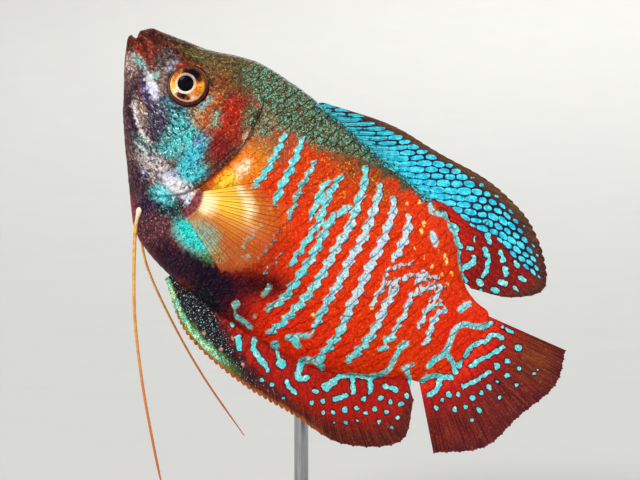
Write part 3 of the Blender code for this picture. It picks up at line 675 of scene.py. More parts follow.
# the stripes, in the same pixels, each with its half width
stripes = (
    ((285, 134), (278, 150), (270, 165), (262, 178), (252, 188), 3.0),
    ((262, 222), (252, 234), (242, 247), 2.4),
    ((303, 138), (298, 152), (291, 168), (284, 181), (275, 203), 3.3),
    ((316, 161), (309, 173), (301, 186), (295, 203), (288, 219), 2.6),
    ((280, 230), (269, 245), (258, 261), 0.9),
    ((283, 252), (273, 264), (262, 275), 0.9),
    ((328, 180), (322, 190), (317, 201), (310, 218), 2.9),
    ((341, 176), (334, 187), (327, 199), (323, 211), (317, 226), (309, 237), (302, 249), (296, 257),
     (290, 266), 3.1),
    ((350, 207), (341, 212), (332, 218), (325, 231), (320, 241), (314, 254), (306, 266), (299, 277),
     (292, 287), (285, 297), (276, 304), (267, 309), 3.8),
    ((366, 168), (364, 186), (359, 200), (354, 214), (350, 227), (342, 239), (334, 252), (328, 264),
     (321, 276), (313, 288), (305, 298), (296, 308), (287, 318), (277, 327), (269, 332), 3.8),
    ((380, 186), (377, 201), (373, 213), (368, 225), (364, 237), (357, 248), (351, 258), (346, 268),
     (341, 279), (335, 290), (328, 300), (322, 312), (315, 326), 3.9),
    ((394, 199), (393, 213), (388, 226), (384, 238), (377, 252), (370, 266), (363, 281), (357, 294),
     (350, 306), (346, 318), (340, 332), (330, 346), (321, 355), (319, 365), 4.0),
    ((409, 217), (408, 229), (404, 241), (398, 252), (393, 260), 3.7),
    ((414, 262), (405, 265), (395, 267), (388, 271), (383, 277), 1.8),
    ((428, 271), (418, 275), (407, 277), (398, 280), (390, 283), (383, 286), (379, 292), (375, 299),
     (371, 307), 2.1),
    ((397, 286), (393, 293), (388, 300), (384, 308), (380, 318), (375, 328), (370, 337), (363, 346),
     (355, 354), (347, 361), 3.7),
    ((440, 277), (430, 277), (421, 279), (416, 284), 2.0),
    ((446, 286), (437, 286), (430, 287), (422, 291), (412, 294), (408, 303), (405, 313), (400, 322),
     (394, 331), 2.4),
    ((432, 299), (440, 293), 2.6),
    ((443, 302), (436, 305), (429, 307), (425, 313), (422, 321), (418, 327), 2.2),
    ((446, 309), (440, 313), (434, 319), (431, 327), (429, 336), (424, 345), 2.6),
    ((386, 340), (394, 336), 3.6),
    ((381, 350), (385, 347), 3.4),
    ((399, 346), (405, 344), 3.4),
    ((320, 205), (328, 198), (336, 190), 1.4),
)

stripeSpread = 0.2  # added to every half width, in pixels
slipStep = 0.2  # the step along the body, in mm, over which a stripe's slope is taken


# how far a point is outside the nearest stripe, in mm; a stripe narrows towards its ends
def stripeField(points):
    px, py = onPicture(points)
    field = np.full(px.shape, 99.0)
    for *line, halfWidth in stripes:
        away, along = lineDistance(px, py, line)
        reach = (halfWidth + stripeSpread) * (1 - 0.25 * np.abs(2 * along - 1) ** 3)
        field = np.minimum(field, away - reach)
    return field * picture["scale"]


# Marks that aren't stripes, from the body out over the fins: bent lines and dots of blue, in the
# side view's pixels, each line with its half width and each dot with its radius.
tailMarks = (
    ((428, 366), (435, 359), (443, 355), (447, 349), (450, 342), (453, 332), (458, 326), (466, 324),
     (474, 326), (482, 327), (491, 323), 2.9),
    ((447, 354), (453, 363), (456, 372), 2.6),
    ((457, 367), (461, 362), 2.4),
    ((422, 381), (427, 377), (435, 375), (443, 377), (451, 378), 2.5),
    ((440, 378), (439, 384), (435, 391), (429, 395), 2.6),
    ((465, 356), (471, 347), (478, 343), (487, 341), (490, 336), (496, 335), (502, 338), 2.5),
    ((471, 366), (477, 361), (487, 356), (497, 351), (503, 347), 2.3),
    ((463, 386), (474, 382), (481, 377), (489, 372), 2.3),
    ((502, 327), (512, 332), 2.0),
    ((460, 310), (464, 306), (469, 304), 3.3),
    ((405, 369), (409, 376), (412, 387), 2.4),
    ((402, 368), (413, 364), 2.0),
)
tailDots = (
    (497, 366, 3.2), (508, 361, 3.2), (518, 348, 3.8), (507, 375, 2.8), (489, 387, 2.8), (497, 382, 2.4),
    (481, 393, 2.6), (472, 398, 2.9), (458, 394, 2.5), (449, 395, 3.1), (442, 400, 2.7), (436, 408, 2.8),
    (455, 410, 3.2), (465, 407, 2.3), (480, 410, 2.4), (499, 398, 1.7), (517, 385, 1.9), (520, 369, 2.2),
    (535, 374, 1.6), (539, 370, 1.4), (472, 420, 1.3),
)
analMarks = (
    ((324, 386), (332, 381), (339, 377), (351, 375), (366, 377), (379, 375), (388, 371), (392, 363),
     (396, 356), (400, 348), (408, 343), 2.6),
    ((325, 387), (334, 381), 4.0),
    ((353, 378), (353, 392), 2.6),
    ((370, 378), (370, 392), 2.5),
    ((322, 367), (316, 361), (309, 359), (301, 361), (299, 371), (298, 378), (307, 378), 3.2),
    ((287, 337), (310, 335), 3.0),
    ((294, 340), (298, 345), 3.6),
    ((238, 338), (239, 348), 3.2),
    ((254, 339), (254, 350), (261, 360), (268, 369), 2.8),
    ((277, 352), (280, 361), 1.8),
    ((287, 381), (289, 387), (295, 392), 2.3),
    ((334, 399), (346, 396), 2.6),
    ((385, 386), (396, 389), 2.7),
    ((236, 316), (244, 321), (251, 327), 2.4),
    ((240, 259), (250, 255), 1.8),
)
analDots = (
    (275, 345, 5.0), (281, 364, 5.2), (315, 391, 3.1), (312, 403, 2.5), (323, 401, 2.9), (364, 399, 2.9),
    (381, 398, 3.0), (390, 402, 2.6), (401, 404, 2.8), (407, 395, 2.6), (333, 412, 2.2), (345, 410, 2.9),
    (356, 408, 3.0), (366, 413, 2.5), (375, 409, 2.5), (386, 412, 2.3), (398, 418, 2.2), (346, 422, 2.0),
    (379, 422, 2.0), (323, 413, 1.5), (334, 423, 1.5), (392, 428, 1.4), (357, 421, 1.5), (236, 304, 4.6),
    (264, 294, 3.6), (269, 287, 3.4), (256, 315, 2.6), (232, 324, 2.4), (272, 385, 2.2), (262, 380, 1.8),
    (283, 398, 1.8),
)
dorsalMarks = (
    ((430, 204), (431, 211), (437, 214), (443, 214), (446, 218), 2.6),
    ((451, 226), (455, 230), 3.8),
    ((455, 231), (456, 240), (460, 247), 2.6),
    ((459, 250), (459, 264), 1.5),
    ((461, 269), (468, 266), (473, 262), (474, 257), 2.6),
    ((463, 275), (466, 281), 2.2),
    ((469, 248), (472, 248), 2.5),
    ((487, 234), (489, 242), 2.5),
    ((485, 249), (486, 255), 2.9),
    ((488, 261), (487, 267), 2.5),
    ((486, 271), (483, 276), 2.8),
    ((479, 281), (481, 284), 2.8),
    ((475, 236), (474, 242), 1.3),
    ((501, 252), (503, 260), 2.9),
    ((504, 268), (506, 273), 2.8),
    ((500, 282), (505, 284), 2.8),
    ((493, 289), (496, 291), 2.4),
    ((514, 287), (518, 291), 1.8),
    ((520, 277), (525, 281), 1.7),
    ((515, 261), (518, 266), 2.6),
    ((432, 234), (436, 244), 3.6),
)
dorsalDots = ((481, 290, 2.0), (487, 224, 2.0), (450, 250, 1.8))


# how far a point is outside the nearest mark, in mm
def markField(points):
    px, py = onPicture(points)
    field = np.full(px.shape, 99.0)
    for *line, halfWidth in tailMarks + analMarks + dorsalMarks:
        field = np.minimum(field, lineDistance(px, py, line)[0] - halfWidth)
    for x, y, size in tailDots + analDots + dorsalDots:
        field = np.minimum(field, np.hypot(px - x, py - y) - size)
    return field * picture["scale"]


# the s and h at which a point is seen
def seen(points):
    return fromPicture(*onPicture(points))


# What the surface does beyond the plain body, in mm outwards. Each fold has its height where it
# starts and where it ends, its width, how dark the painted shade in its groove is, and its line of (s, h).
folds = {
    "slit": (-0.34, -0.14, 0.16, 0.0,
             (-1.2, -0.75), (-0.3, -0.52), (0.8, -0.5), (1.6, -0.55), (2.5, -1.15), (3.3, -1.75),
             (4.2, -2.4)),
    "upperLip": (0.26, 0.13, 0.48, 0.0,
                 (0.0, 0.35), (0.7, 0.25), (1.5, 0.15), (2.3, -0.3), (2.9, -0.9)),
    "lowerLip": (0.24, 0.12, 0.42, 0.0,
                 (-0.8, -1.25), (-0.2, -1.2), (0.7, -1.2), (1.4, -1.35), (2.2, -1.9)),
    "lipFold": (-0.16, -0.16, 0.17, 0.4,
                (0.9, 1.75), (1.5, 1.0), (2.6, 0.55), (3.7, -0.6), (4.4, -1.6)),
    "cheekFold": (-0.13, -0.13, 0.25, 0.25,
                  (6.9, -2.2), (5.4, -3.3), (4.5, -5.0), (5.6, -7.6), (8.0, -9.5)),
    "preopercle": (-0.16, -0.16, 0.22, 0.4,
                   (15.2, 1.2), (16.2, -2.0), (16.4, -5.5), (15.6, -8.6), (13.0, -10.4), (9.6, -10.2),
                   (6.2, -8.6)),
    "lowerCover": (-0.16, -0.16, 0.2, 0.5,
                   (12.0, -12.0), (15.2, -12.2), (18.0, -11.3), (20.2, -9.8)),
}
nostrils = ((3.75, 1.55, 0.30), (5.35, 1.95, 0.26))  # s, h and radius
gill = {"flare": 0.35, "reach": 5.0}  # how far the cover's edge stands out, and from how far ahead
lobe = {"s": 20.9, "h": -11.2}  # the fleshy lobe that the pectoral fin springs from


# how free the gill cover's edge stands, from 0 at the nape and at the throat
def coverFree(h):
    return ease(h, -15.5, -12.0) * (1 - ease(h, 3.0, 6.0))


# How far the surface stands out: the gill cover's flared edge, the folds, a rim round each nostril
# and round the eye, the eye's socket, the pectoral fin's lobe, and soft waves all over.
def skinLift(points, flare=True):
    s, h = seen(points)
    lift = np.zeros(np.shape(s))
    behind = points[..., 0] - gillAt(points[..., 2])
    free = coverFree(points[..., 2])
    if flare:
        lift += gill["flare"] * ease(behind, -gill["reach"], 0) ** 1.5 * (behind < 0.02) * free
        lift += 0.10 * bell(behind + 0.25, 0.22) * (behind < 0.02) * free
    lift -= 0.15 * bell(behind - 0.15, 0.3) * (behind > 0) * free
    for name, (start, end, width, _dark, *line) in folds.items():
        away, along = lineDistance(s, h, line)
        lift += (start + (end - start) * along) * bell(away, width)
        if name == "preopercle":  # a low ridge runs beside the groove
            lift += 0.10 * bell(away - 0.5, 0.4)
    for ns, nh, nr in nostrils:
        r = np.hypot(s - ns, (h - nh) * 1.2)
        lift += 0.10 * bell(r - nr * 1.3, 0.16) - 0.42 * bell(r, nr * 0.85)
    r = np.hypot(points[..., 0] - eye["s"], points[..., 2] - eye["h"])
    lift += 0.16 * bell(r - 3.05, 0.26) - 0.10 * bell(r - 3.6, 0.3)
    lift -= 0.75 * (1 - ease(r, eye["socket"] - 0.12, eye["socket"] + 0.14))
    lift += 0.45 * patch(s, h, lobe["s"] - 0.05, lobe["h"], 1.0, 2.4, 12)
    soft = ease(s, 0.5, 3) * (0.03 * waves(s, h, 1.3, 5) + 0.02 * waves(s, h, 0.6, 8))
    return lift + soft


# how many rings lie ahead of, between and behind two places along the fish, closest on the head
skin = {"rows": (120, 72, 178), "ends": (12.0, 22.0), "columns": 232}
# an unwrap of the skin's own shape: along the fish, and round it from the belly
unwrap = {"start": 0.02, "length": 64, "low": 0.01, "round": 0.98, "tip": 0.004}


def makeSkin():
    snout, tail = bodyLines[0][0], bodyLines[-1][0]
    total, columns = sum(skin["rows"]), skin["columns"]
    axis = np.concatenate([
        np.linspace(snout, skin["ends"][0], skin["rows"][0], endpoint=False),
        np.linspace(*skin["ends"], skin["rows"][1], endpoint=False),
        np.linspace(skin["ends"][1], tail, skin["rows"][2]),
    ])
    u = np.interp(axis, axisS, fineU)
    u[0], u[-1] = 0, len(bodyLines) - 1
    fine = bodyRings(u, fineTurn)
    closed = np.concatenate([fine, fine[:, :1]], axis=1)
    steps = np.linalg.norm(np.diff(closed, axis=1), axis=2)
    around = np.concatenate([np.zeros((total, 1)), steps.cumsum(axis=1)], axis=1)
    points = np.zeros((total, columns, 3))
    for row in range(total):  # one short step for each ring: its columns, evenly spaced round it
        want = np.linspace(0, around[row, -1], columns, endpoint=False)
        for k in range(3):
            points[row, :, k] = np.interp(want, around[row], closed[row, :, k])
    normals = ringNormals(points)
    normals[:3] = normals[3]
    endFade = ease(axis, snout, -0.2)[:, None]
    points = points + normals * (skinLift(points) * endFade)[..., None]
    allPoints, faces = closedTube(points, points[[0, -1]].mean(axis=1))
    colours = flankColours(allPoints)
    bright = ease(colours["paint"].mean(axis=-1), 0.35, 0.75)
    stripe = stripeField(allPoints)
    return makePiece(
        "skin",
        allPoints,
        faces,
        values={
            "mark": np.minimum(markField(allPoints), stripe),
            "lee": stripeField(allPoints + (slipStep, 0, 0)) - stripe,
            # painted shade in the folds, mouth, nostrils, behind the gill cover's edge and in the eye's
            # socket
            "paintedShade": paintedFoldShade(allPoints),
            "net": (1 - ease(allPoints[:, 0], 30, 46)) * (1 - 0.55 * bright),
            **speckWeights(allPoints),
        },
        colours=colours,
        maps={"OFBake": skinMap(axis, columns)},
    )


# the unwrap's corners for the quads and for the two fans; the last column ends at a whole turn
def skinMap(axis, columns):
    along = axis / unwrap["length"] + unwrap["start"]
    r, c = np.meshgrid(np.arange(len(axis) - 1), np.arange(columns), indexing="ij")

    def upAt(column):
        return unwrap["low"] + unwrap["round"] * column * (1 / columns)

    corners = [(r, c), (r, c + 1), (r + 1, c + 1), (r + 1, c)]
    quads = np.stack([np.stack([along[a], upAt(b)], axis=-1) for a, b in corners], axis=2)
    fans = []
    tip = unwrap["tip"]
    for edge, end, order in ((along[0], along[0] - tip, (1, 0)), (along[-1], along[-1] + tip, (0, 1))):
        v = upAt(np.arange(columns)[:, None] + (*order, 0.5))
        fans.append(np.stack([np.broadcast_to((edge, edge, end), v.shape), v], axis=-1))
    return [quads.reshape(-1, 4, 2), *fans]


# painted shade: how dark the skin is made under the folds, inside the mouth and the nostrils, just behind
# the gill cover's edge and in the eye's socket
def paintedFoldShade(points):
    s, h = seen(points)
    slit, along = lineDistance(s, h, folds["slit"][4:])
    dark = 0.8 * bell(slit, 0.14) * (1 - 0.6 * along)
    for ns, nh, nr in nostrils:
        dark = np.maximum(dark, 0.85 * bell(np.hypot(s - ns, h - nh), nr * 0.8))
    for _start, _end, _width, share, *line in folds.values():
        dark = np.maximum(dark, share * bell(lineDistance(s, h, line)[0], 0.2))
    behind = points[..., 0] - gillAt(points[..., 2])
    dark = np.maximum(dark, 0.6 * bell(behind - 0.1, 0.2) * coverFree(h))
    r = np.hypot(points[..., 0] - eye["s"], points[..., 2] - eye["h"])
    return np.maximum(dark, 0.6 * (1 - ease(r, 2.68, 2.84)))


# the blues: lavender in the middle of the flank, cyan elsewhere, dulled by painted shade under and beside
# the pectoral fin
def blueColour(place):
    fleck = place.noise(3600, 2, 0.7)
    light = (attribute(place, "lavender") * 0.4 + fleck * 1.6 - 0.72).ease(0.2, 0.5)
    blue = light.mixed(bluePaint["cyan"], bluePaint["lavender"])
    # painted shade of the pectoral fin: the blues turn dull green-grey under and beside it
    blue = (attribute(place, "finShade") * 0.75).mixed(blue, "6AA498")
    blue = (place.noise(2600, 1).ease(0.54, 0.64) * 0.8).mixed(blue, "E8F8EA")
    return (place.noise(5200, 2).ease(0.55, 0.63) * 0.6).mixed(blue, "2C5480")


# What skin and scales share: the regions' paint broken up by freckles and sparks, the green of the
# nape, specks at the dorsal fin's foot, yellow flecks, and blue marks edged with a pale painted highlight
# towards the head and dark painted shade towards the tail.
def flankColour(place, lie, inside, outline, tone):
    grain = place.noise(5200, 2, 0.7)
    spots = place.noise(2600, 3, 0.8)
    paint = attribute(place, "paint", "Color")
    freckles = lie.noise(2600, 3, 0.8) + (tone - 0.5) * 0.06
    paint = freckles.ease(0.48, 0.56).mixed(paint, attribute(place, "freckles", "Color"))
    paint = lie.noise(3400, 2, 0.7).ease(0.57, 0.64).mixed(paint, attribute(place, "sparks", "Color"))
    paint = (grain.ease(0.44, 0.32) * 0.6).mixed(paint, "1C0A0C")
    greens = place.noise(2300, 2, 0.7).ease(0.50, 0.57).mixed("4A4426", bluePaint["teal"])
    greens = (place.noise(6000, 1).ease(0.52, 0.62) * 0.6).mixed(greens, "A8D8B4")
    greens = place.noise(3400, 2).ease(0.54, 0.60).mixed(greens, "744824")
    greens = (grain.ease(0.50, 0.38) * 0.8).mixed(greens, "14180E")
    greens = (outline * 0.8).mixed(greens, "12180F")
    paint = (attribute(place, "nape") + (spots - 0.5) * 1.6).ease(0.36, 0.50).mixed(paint, greens)
    foot = attribute(place, "foot")
    specks = foot * 0.8 + (place.noise(2600, 2, 0.7) - 0.5) * 2.8 - 0.62
    paint = (specks.ease(-0.35, -0.15) * foot.ease(0.05, 0.3)).mixed(paint, "0E2028")
    bright = place.noise(1500, 2).ease(0.42, 0.58).mixed("54B8A4", "4CD2EC")
    paint = (specks.ease(0.0, 0.1) * foot.ease(0.05, 0.3)).mixed(paint, bright)
    yellow = attribute(place, "yellow") + (spots - 0.5) * 1.2
    paint = yellow.ease(0.25, 0.4).mixed(paint, "F2A21C")
    paint = yellow.ease(0.42, 0.58).mixed(paint, "F6E8A4")
    # the marks' edges: a pale painted highlight on the side towards the head, dark painted shade on the
    # side towards the tail
    lee = attribute(place, "lee").ease(-0.08, 0.08)
    edgeLightAndShade = inside.ease(-0.16, -0.03) * (0.25 + lee * 0.6)
    paint = edgeLightAndShade.mixed(paint, lee.mixed("F8B070", "30162A"))
    blue = (outline * inside.ease(0.7, 0.2) * 0.55).mixed(blueColour(place), "2C3C74")
    return inside.ease(-0.02, 0.05).mixed(paint, blue)


# the place turned so that x runs along the fish, where a pattern comes out longer by the stretch
def combed(place, stretch):
    turn = (0, math.radians(pose["noseUp"]), 0)
    inputs = {"Vector": place, "Rotation": turn, "Scale": (stretch, 1, 1)}
    return place.node("ShaderNodeMapping", {"vector_type": "TEXTURE"}, inputs)


def skinFinish():
    finish, shader, place = newFinish(
        "fish_skin", Roughness=0.45, Specular_IOR_Level=0.04, Coat_Weight=0.03, Coat_Roughness=0.2
    )
    inside = 0 - attribute(place, "mark") + (place.noise(2300, 2) - 0.5) * 0.4
    warp = place.node("ShaderNodeTexNoise", {}, {"Vector": place, "Scale": 1500}, 1)
    spread = (0.0006, 0.0006, 0.0006)
    moved = {0: warp, 1: spread, 2: place}
    warped = place.node("ShaderNodeVectorMath", {"operation": "MULTIPLY_ADD"}, moved)
    granules = combed(warped, 1.5).cellEdges(1600)
    net = attribute(place, "net")
    outline = granules.ease(0.12, 0.02) * net
    colour = flankColour(place, combed(warped, 3.2), inside, outline, place.noise(900))
    colour = (granules.ease(0.18, 0.03) * net * 0.65).mixed(colour, "160A0C")
    # painted shade from the folds, mouth, nostrils, gill cover's edge and eye socket
    colour = attribute(place, "paintedShade").mixed(colour, "150A0C")
    height = granules.ease(0, 0.2) * net + place.noise(900, 2)
    feed(place, shader, Base_Color=colour, Normal=bumped(place, height, 0.35, 0.00010))
    return finish


skinPiece = makeSkin()
wear(skinPiece, skinFinish(), "skin", "head", "lower_jaw", "trunk", "tail_stalk")
print("skin:", len(skinPiece.data.polygons), "faces")

# Scales lie in columns that follow the stripes' lean, two to a stripe, and in rows along the
# body. Each is a small sheet, x across it and t from root to free edge, with its rim turned down.
scale = {
    "x": (-1.0, -1.0, -0.62, -0.2, 0.2, 0.62, 1.0, 1.0),
    "t": (0.12, 0.42, 0.6, 0.78, 0.92, 1.0, 1.0),
    "lift": (-0.05, 0.0, 0.014, 0.026, 0.034, 0.026, -0.08),
    "rim": (-0.10, 0.0, 0.0, 0.0, 0.0, 0.0, 0.0, -0.10),
    "length": 2.08,  # in columns
    "halfHeight": 1.12,  # in rows
    "saw": 0.31,  # how far a stripe slips along the body at each edge of a row of scales, in mm
    "markAt": 0.76,  # share of a scale that lies ahead of its place in the column
    "thick": 2.8,  # a scale shorter than this is thinner too
    "rows": (-18, 17),
    "rowGap": 1.86,  # mm, on the middle of the flank
    "rowShare": ((5, 14, 22, 34, 50, 60), (0.50, 0.62, 0.80, 1.0, 0.92, 0.68)),  # over s
    "columns": (4.5, 61),  # s of the first column and of the end
    "columnGap": ((6, 14, 24, 32, 46, 54, 60), (0.80, 0.90, 1.2, 1.38, 1.34, 1.15, 0.85)),
    "lean": ((-24, -20, -16, -12, -8, -4, 0.5, 6, 11, 14),
             (1.9, 2.4, 2.9, 3.0, 2.7, 1.5, 0, -1.7, -3.9, -5.4)),  # how far tailwards, over height
    "leanShare": ((8, 24, 48, 56, 62), (0.8, 0.85, 1.0, 0.7, 0.4)),
    "tipFrom": 8.0,  # no scale ends ahead of this s
    "lastAt": 60.6,
    "eyeFree": 3.9,  # bare round the eye's middle
    "bareSnout": (8.2, 3.0),  # no scales ahead of this s and below this height
    "bareCheek": (14.5, -2.0),  # the same on the cheek, its border a little aslant
    "bareThroat": -11.0,
}


# the height of a row of scales at s, in mm
def rowGap(s):
    return scale["rowGap"] * np.interp(s, *scale["rowShare"])


# s of every column of scales, each a gap behind the last
def columnPlaces():
    first, end = scale["columns"]
    places = [first]
    while places[-1] < end:
        places.append(places[-1] + float(np.interp(places[-1], *scale["columnGap"])))
    return np.array(places)


scaleColumns = columnPlaces()


# columns of scales lean as the stripes do: s of column k at height h
def columnS(k, h):
    place = np.interp(k, np.arange(len(scaleColumns)), scaleColumns)
    return place + np.interp(h, *scale["lean"]) * np.interp(place, *scale["leanShare"])


# which scales there are: none on the eye, the cheek, the throat or the pectoral fin's lobe, and
# none that would reach across the gill cover's edge
def scalesWanted(s, h, a, root, tip, upTo, downTo, place):
    behind = s - gillAt(h)
    keep = (a < upTo + 0.3) & (a > downTo - 0.3) & (s < scale["lastAt"]) & (tip > scale["tipFrom"])
    straddles = np.where(behind < 0, tip > gillAt(h) + 0.1, root < gillAt(h) - 1.1)
    keep &= ~(straddles & (coverFree(h) > 0.1))
    keep &= np.hypot(s - eye["s"], h - eye["h"]) > scale["eyeFree"]
    snoutS, snoutH = scale["bareSnout"]
    cheekS, cheekH = scale["bareCheek"]
    keep &= ~((s < cheekS) & (h < cheekH - (cheekS - s) * 0.1) & (behind < 0))
    keep &= ~((behind < 0) & (h < scale["bareThroat"]))
    keep &= ~((s < snoutS) & (h < snoutH))
    return keep & (patch(*seen(place), lobe["s"], lobe["h"], 1.9, 3.0, 12, 0.1) < 0.5)


# A scale is a small grid on the flank: its points lie at shares of its length and height from its
# root, and are lifted off the skin by its own form. The right flank's are mirrored.
def makeScales(name, side):
    seed = np.random.default_rng(11 if side < 0 else 12)
    k, j = np.meshgrid(np.arange(len(scaleColumns) - 1), np.arange(*scale["rows"]), indexing="ij")
    k, j = (k + 0.5 * (j % 2)).ravel(), j.ravel()
    s = columnS(k, 0.5)
    for _ in range(8):  # each scale moves until it lies on its column
        place, _n = onFlank(s, j * rowGap(s))
        h = place[:, 2]
        s = s + 0.6 * (columnS(k, h) - s)
    a = j * rowGap(s)
    u = np.interp(s, axisS, fineRows)
    upTo, downTo = (np.interp(u, fineRows, ridgeArc[:, end]) for end in (0, 1))
    girth = upTo - downTo
    pitch = columnS(k + 0.5, h) - columnS(k - 0.5, h)
    length = np.clip(pitch, 0.75, 1.6) * scale["length"]
    root = s - length * scale["markAt"]
    keep = scalesWanted(s, h, a, root, root + length, upTo, downTo, place)
    flared = s - gillAt(h) < -0.2
    s, a, pitch, girth = (v[keep] for v in (s, a, pitch, girth))
    j, root, length, flared = (v[keep][:, None, None] for v in (j, root, length, flared))
    x = np.array(scale["x"])[None, None, :]
    t = np.array(scale["t"])[None, :, None]
    jitter = seed.normal(0, 1, (len(s), 3))[:, None, None, :]
    # a scale narrows towards its root and its free edge is round
    back = t * (1 - 0.20 * x**2 - 0.12 * x**4)
    wide = scale["halfHeight"] - 0.25 * (1 - t) ** 2
    sv = root + length * back + 0.05 * jitter[..., 0]
    row = j + wide * x + 0.03 * jitter[..., 1] + 0.02 * t * jitter[..., 2]
    place, normal = onFlank(sv, row * rowGap(sv))
    form = np.where(flared, skinLift(place), skinLift(place, flare=False))
    small = np.clip(length / scale["thick"], 0.5, 1.0)
    lift = (np.array(scale["lift"])[None, :, None] + np.array(scale["rim"])) * small + 0.015
    lift = lift + 0.022 * (1 - x**2) * small + 0.006 * jitter[..., 2] * t
    points = (place + normal * (form + lift)[..., None]) * (1, -side, 1)
    rows, columns = len(scale["t"]), len(scale["x"])
    grid = gridFaces(rows, columns)
    faces = (grid[None] + np.arange(len(s))[:, None, None] * rows * columns).reshape(-1, 4)

    def full(v):
        return np.broadcast_to(v, sv.shape)

    def each(v):
        return full(v[:, None, None])

    # each scale's patch of the bake map is centred on the scale's own place in the skin's unwrap
    around = 0.255 + a / girth * 0.49
    along = s / unwrap["length"] + unwrap["start"]
    patchAt = np.stack([each(along), each(around if side < 0 else 1 - around)], axis=-1)
    long, high = pitch / unwrap["length"] * 0.46, rowGap(s) / girth * 0.49 * 0.92
    patchSize = np.stack([each(long), each(high)], axis=-1)
    inPatch = np.stack([full(t - 0.5), full(x * 0.5)], axis=-1)
    stripe, other = stripeField(place), markField(place)
    lee = np.where(other < stripe, 0, stripeField(place + (slipStep, 0, 0)) - stripe)
    return makePiece(
        name,
        points,
        [faces],
        values={
            "mark": np.minimum(other, stripe),
            "lee": lee,
            "row": row + 0.5,
            "tone": each(seed.uniform(0, 1, len(s))),
            **speckWeights(place),
        },
        colours=flankColours(place),
        maps={
            "OFBake": patchAt + patchSize * inPatch,
            "scaleMap": np.stack([full(x * 0.5 + 0.5), full(t)], axis=-1),
        },
    )


def scaleFinish():
    finish, shader, place = newFinish(
        "fish_scales", Roughness=0.42, Specular_IOR_Level=0.06, Coat_Weight=0.04, Coat_Roughness=0.2
    )
    across, along = mapOf(place, "scaleMap")
    # in each row of scales a stripe slips tailwards from the row's lower edge to its upper
    row = attribute(place, "row") + (place.noise(700, 1) - 0.5) * 0.6
    saw = row.fract() * 2 - 1
    slip = saw * (1 - abs(saw) ** 8) * (scale["saw"] / slipStep)
    rough = (place.noise(2300, 2) - 0.5) * 0.34 + (place.noise(5200, 1) - 0.5) * 0.16
    inside = slip * attribute(place, "lee") - attribute(place, "mark") + rough
    # a dark line just inside a scale's free edge
    outline = along.ease(0.88, 0.98).largest(abs(across * 2 - 1).ease(0.82, 0.99))
    colour = flankColour(place, place, inside, outline, attribute(place, "tone"))
    colour = (outline * 0.12).mixed(colour, "A03020", "MULTIPLY")
    feed(place, shader, Base_Color=colour, Normal=bumped(place, place.noise(3200, 3, 0.6), 0.3, 0.0001))
    return finish


scalesFinish = scaleFinish()
for name, side in (("scales_left", -1), ("scales_right", 1)):
    piece = makeScales(name, side)
    wear(piece, scalesFinish, "skin")
    print(name, len(piece.data.polygons), "faces")

# Eyes. Places on the iris are in the side view's pixels from the eye's middle, other sizes in mm.
iris = {
    "middle": (-0.5, -2.1),
    "radius": 17.8,
    "pupil": (-2.3, -2.9),
    "pupilRadius": 8.2,
    "ring": 10.7,  # outer radius of the pale ring round the pupil
    "ball": 2.86,  # radius of the eye
    "depth": 1.60,  # of the dome
    "bulge": 0.85,  # how far it stands out of the flank
    "pixel": 0.1323,  # mm to a pixel at the eye's depth
    "map": 6,  # width of the eye's map in mm
}


# the place on the side view of a point near the eye, in pixels from the eye's middle
def fromEye(s, h):
    ds, dh = s - eye["s"], h - eye["h"]
    return (ds * tipCos + dh * tipSin) / iris["pixel"], (ds * tipSin - dh * tipCos) / iris["pixel"]


# a shallow dome of rings round the eye's middle, with a groove round the iris and round the pupil
def makeEye(name, side):
    r = np.concatenate([np.linspace(0, iris["ball"] * 0.97, 60), [iris["ball"]]])[:, None]
    turn = np.linspace(0, 2 * math.pi, 96, endpoint=False)[None, :]
    s = eye["s"] + r * np.cos(turn)
    h = eye["h"] + r * np.sin(turn)
    dome = iris["depth"] * np.sqrt(np.clip(1 - (r / iris["ball"]) ** 2, 0, 1)) + 0 * turn
    ox, oy = fromEye(s, h)
    fromPupil = np.hypot(ox - iris["pupil"][0], oy - iris["pupil"][1]) - iris["pupilRadius"]
    fromIris = np.hypot(ox - iris["middle"][0], oy - iris["middle"][1]) - iris["radius"]
    dome = dome - 0.05 * bell(fromIris, 0.9)
    dome = dome + 0.05 * bell(fromPupil - 1.3, 1.2) - 0.06 * bell(fromPupil, 0.6)
    base = float(halfWidthAt([eye["s"]], [eye["h"]])[0]) + iris["bulge"] - iris["depth"]
    points = np.stack([s, side * (base + dome), h], axis=-1)
    middles = [(eye["s"], side * (base + depth), eye["h"]) for depth in (iris["depth"], -0.6)]
    allPoints, (quads, front, back) = closedTube(points, middles)
    # the first ring is a single point, so the front fan spans from the second
    columns = turn.shape[1]
    faces = [quads[columns:], front + (columns, columns, 0), back]
    eyeMap = (allPoints[:, [0, 2]] - (eye["s"], eye["h"])) / iris["map"] + 0.5
    return makePiece(name, allPoints, faces, maps={"OFBake": eyeMap, "eyeMap": eyeMap})


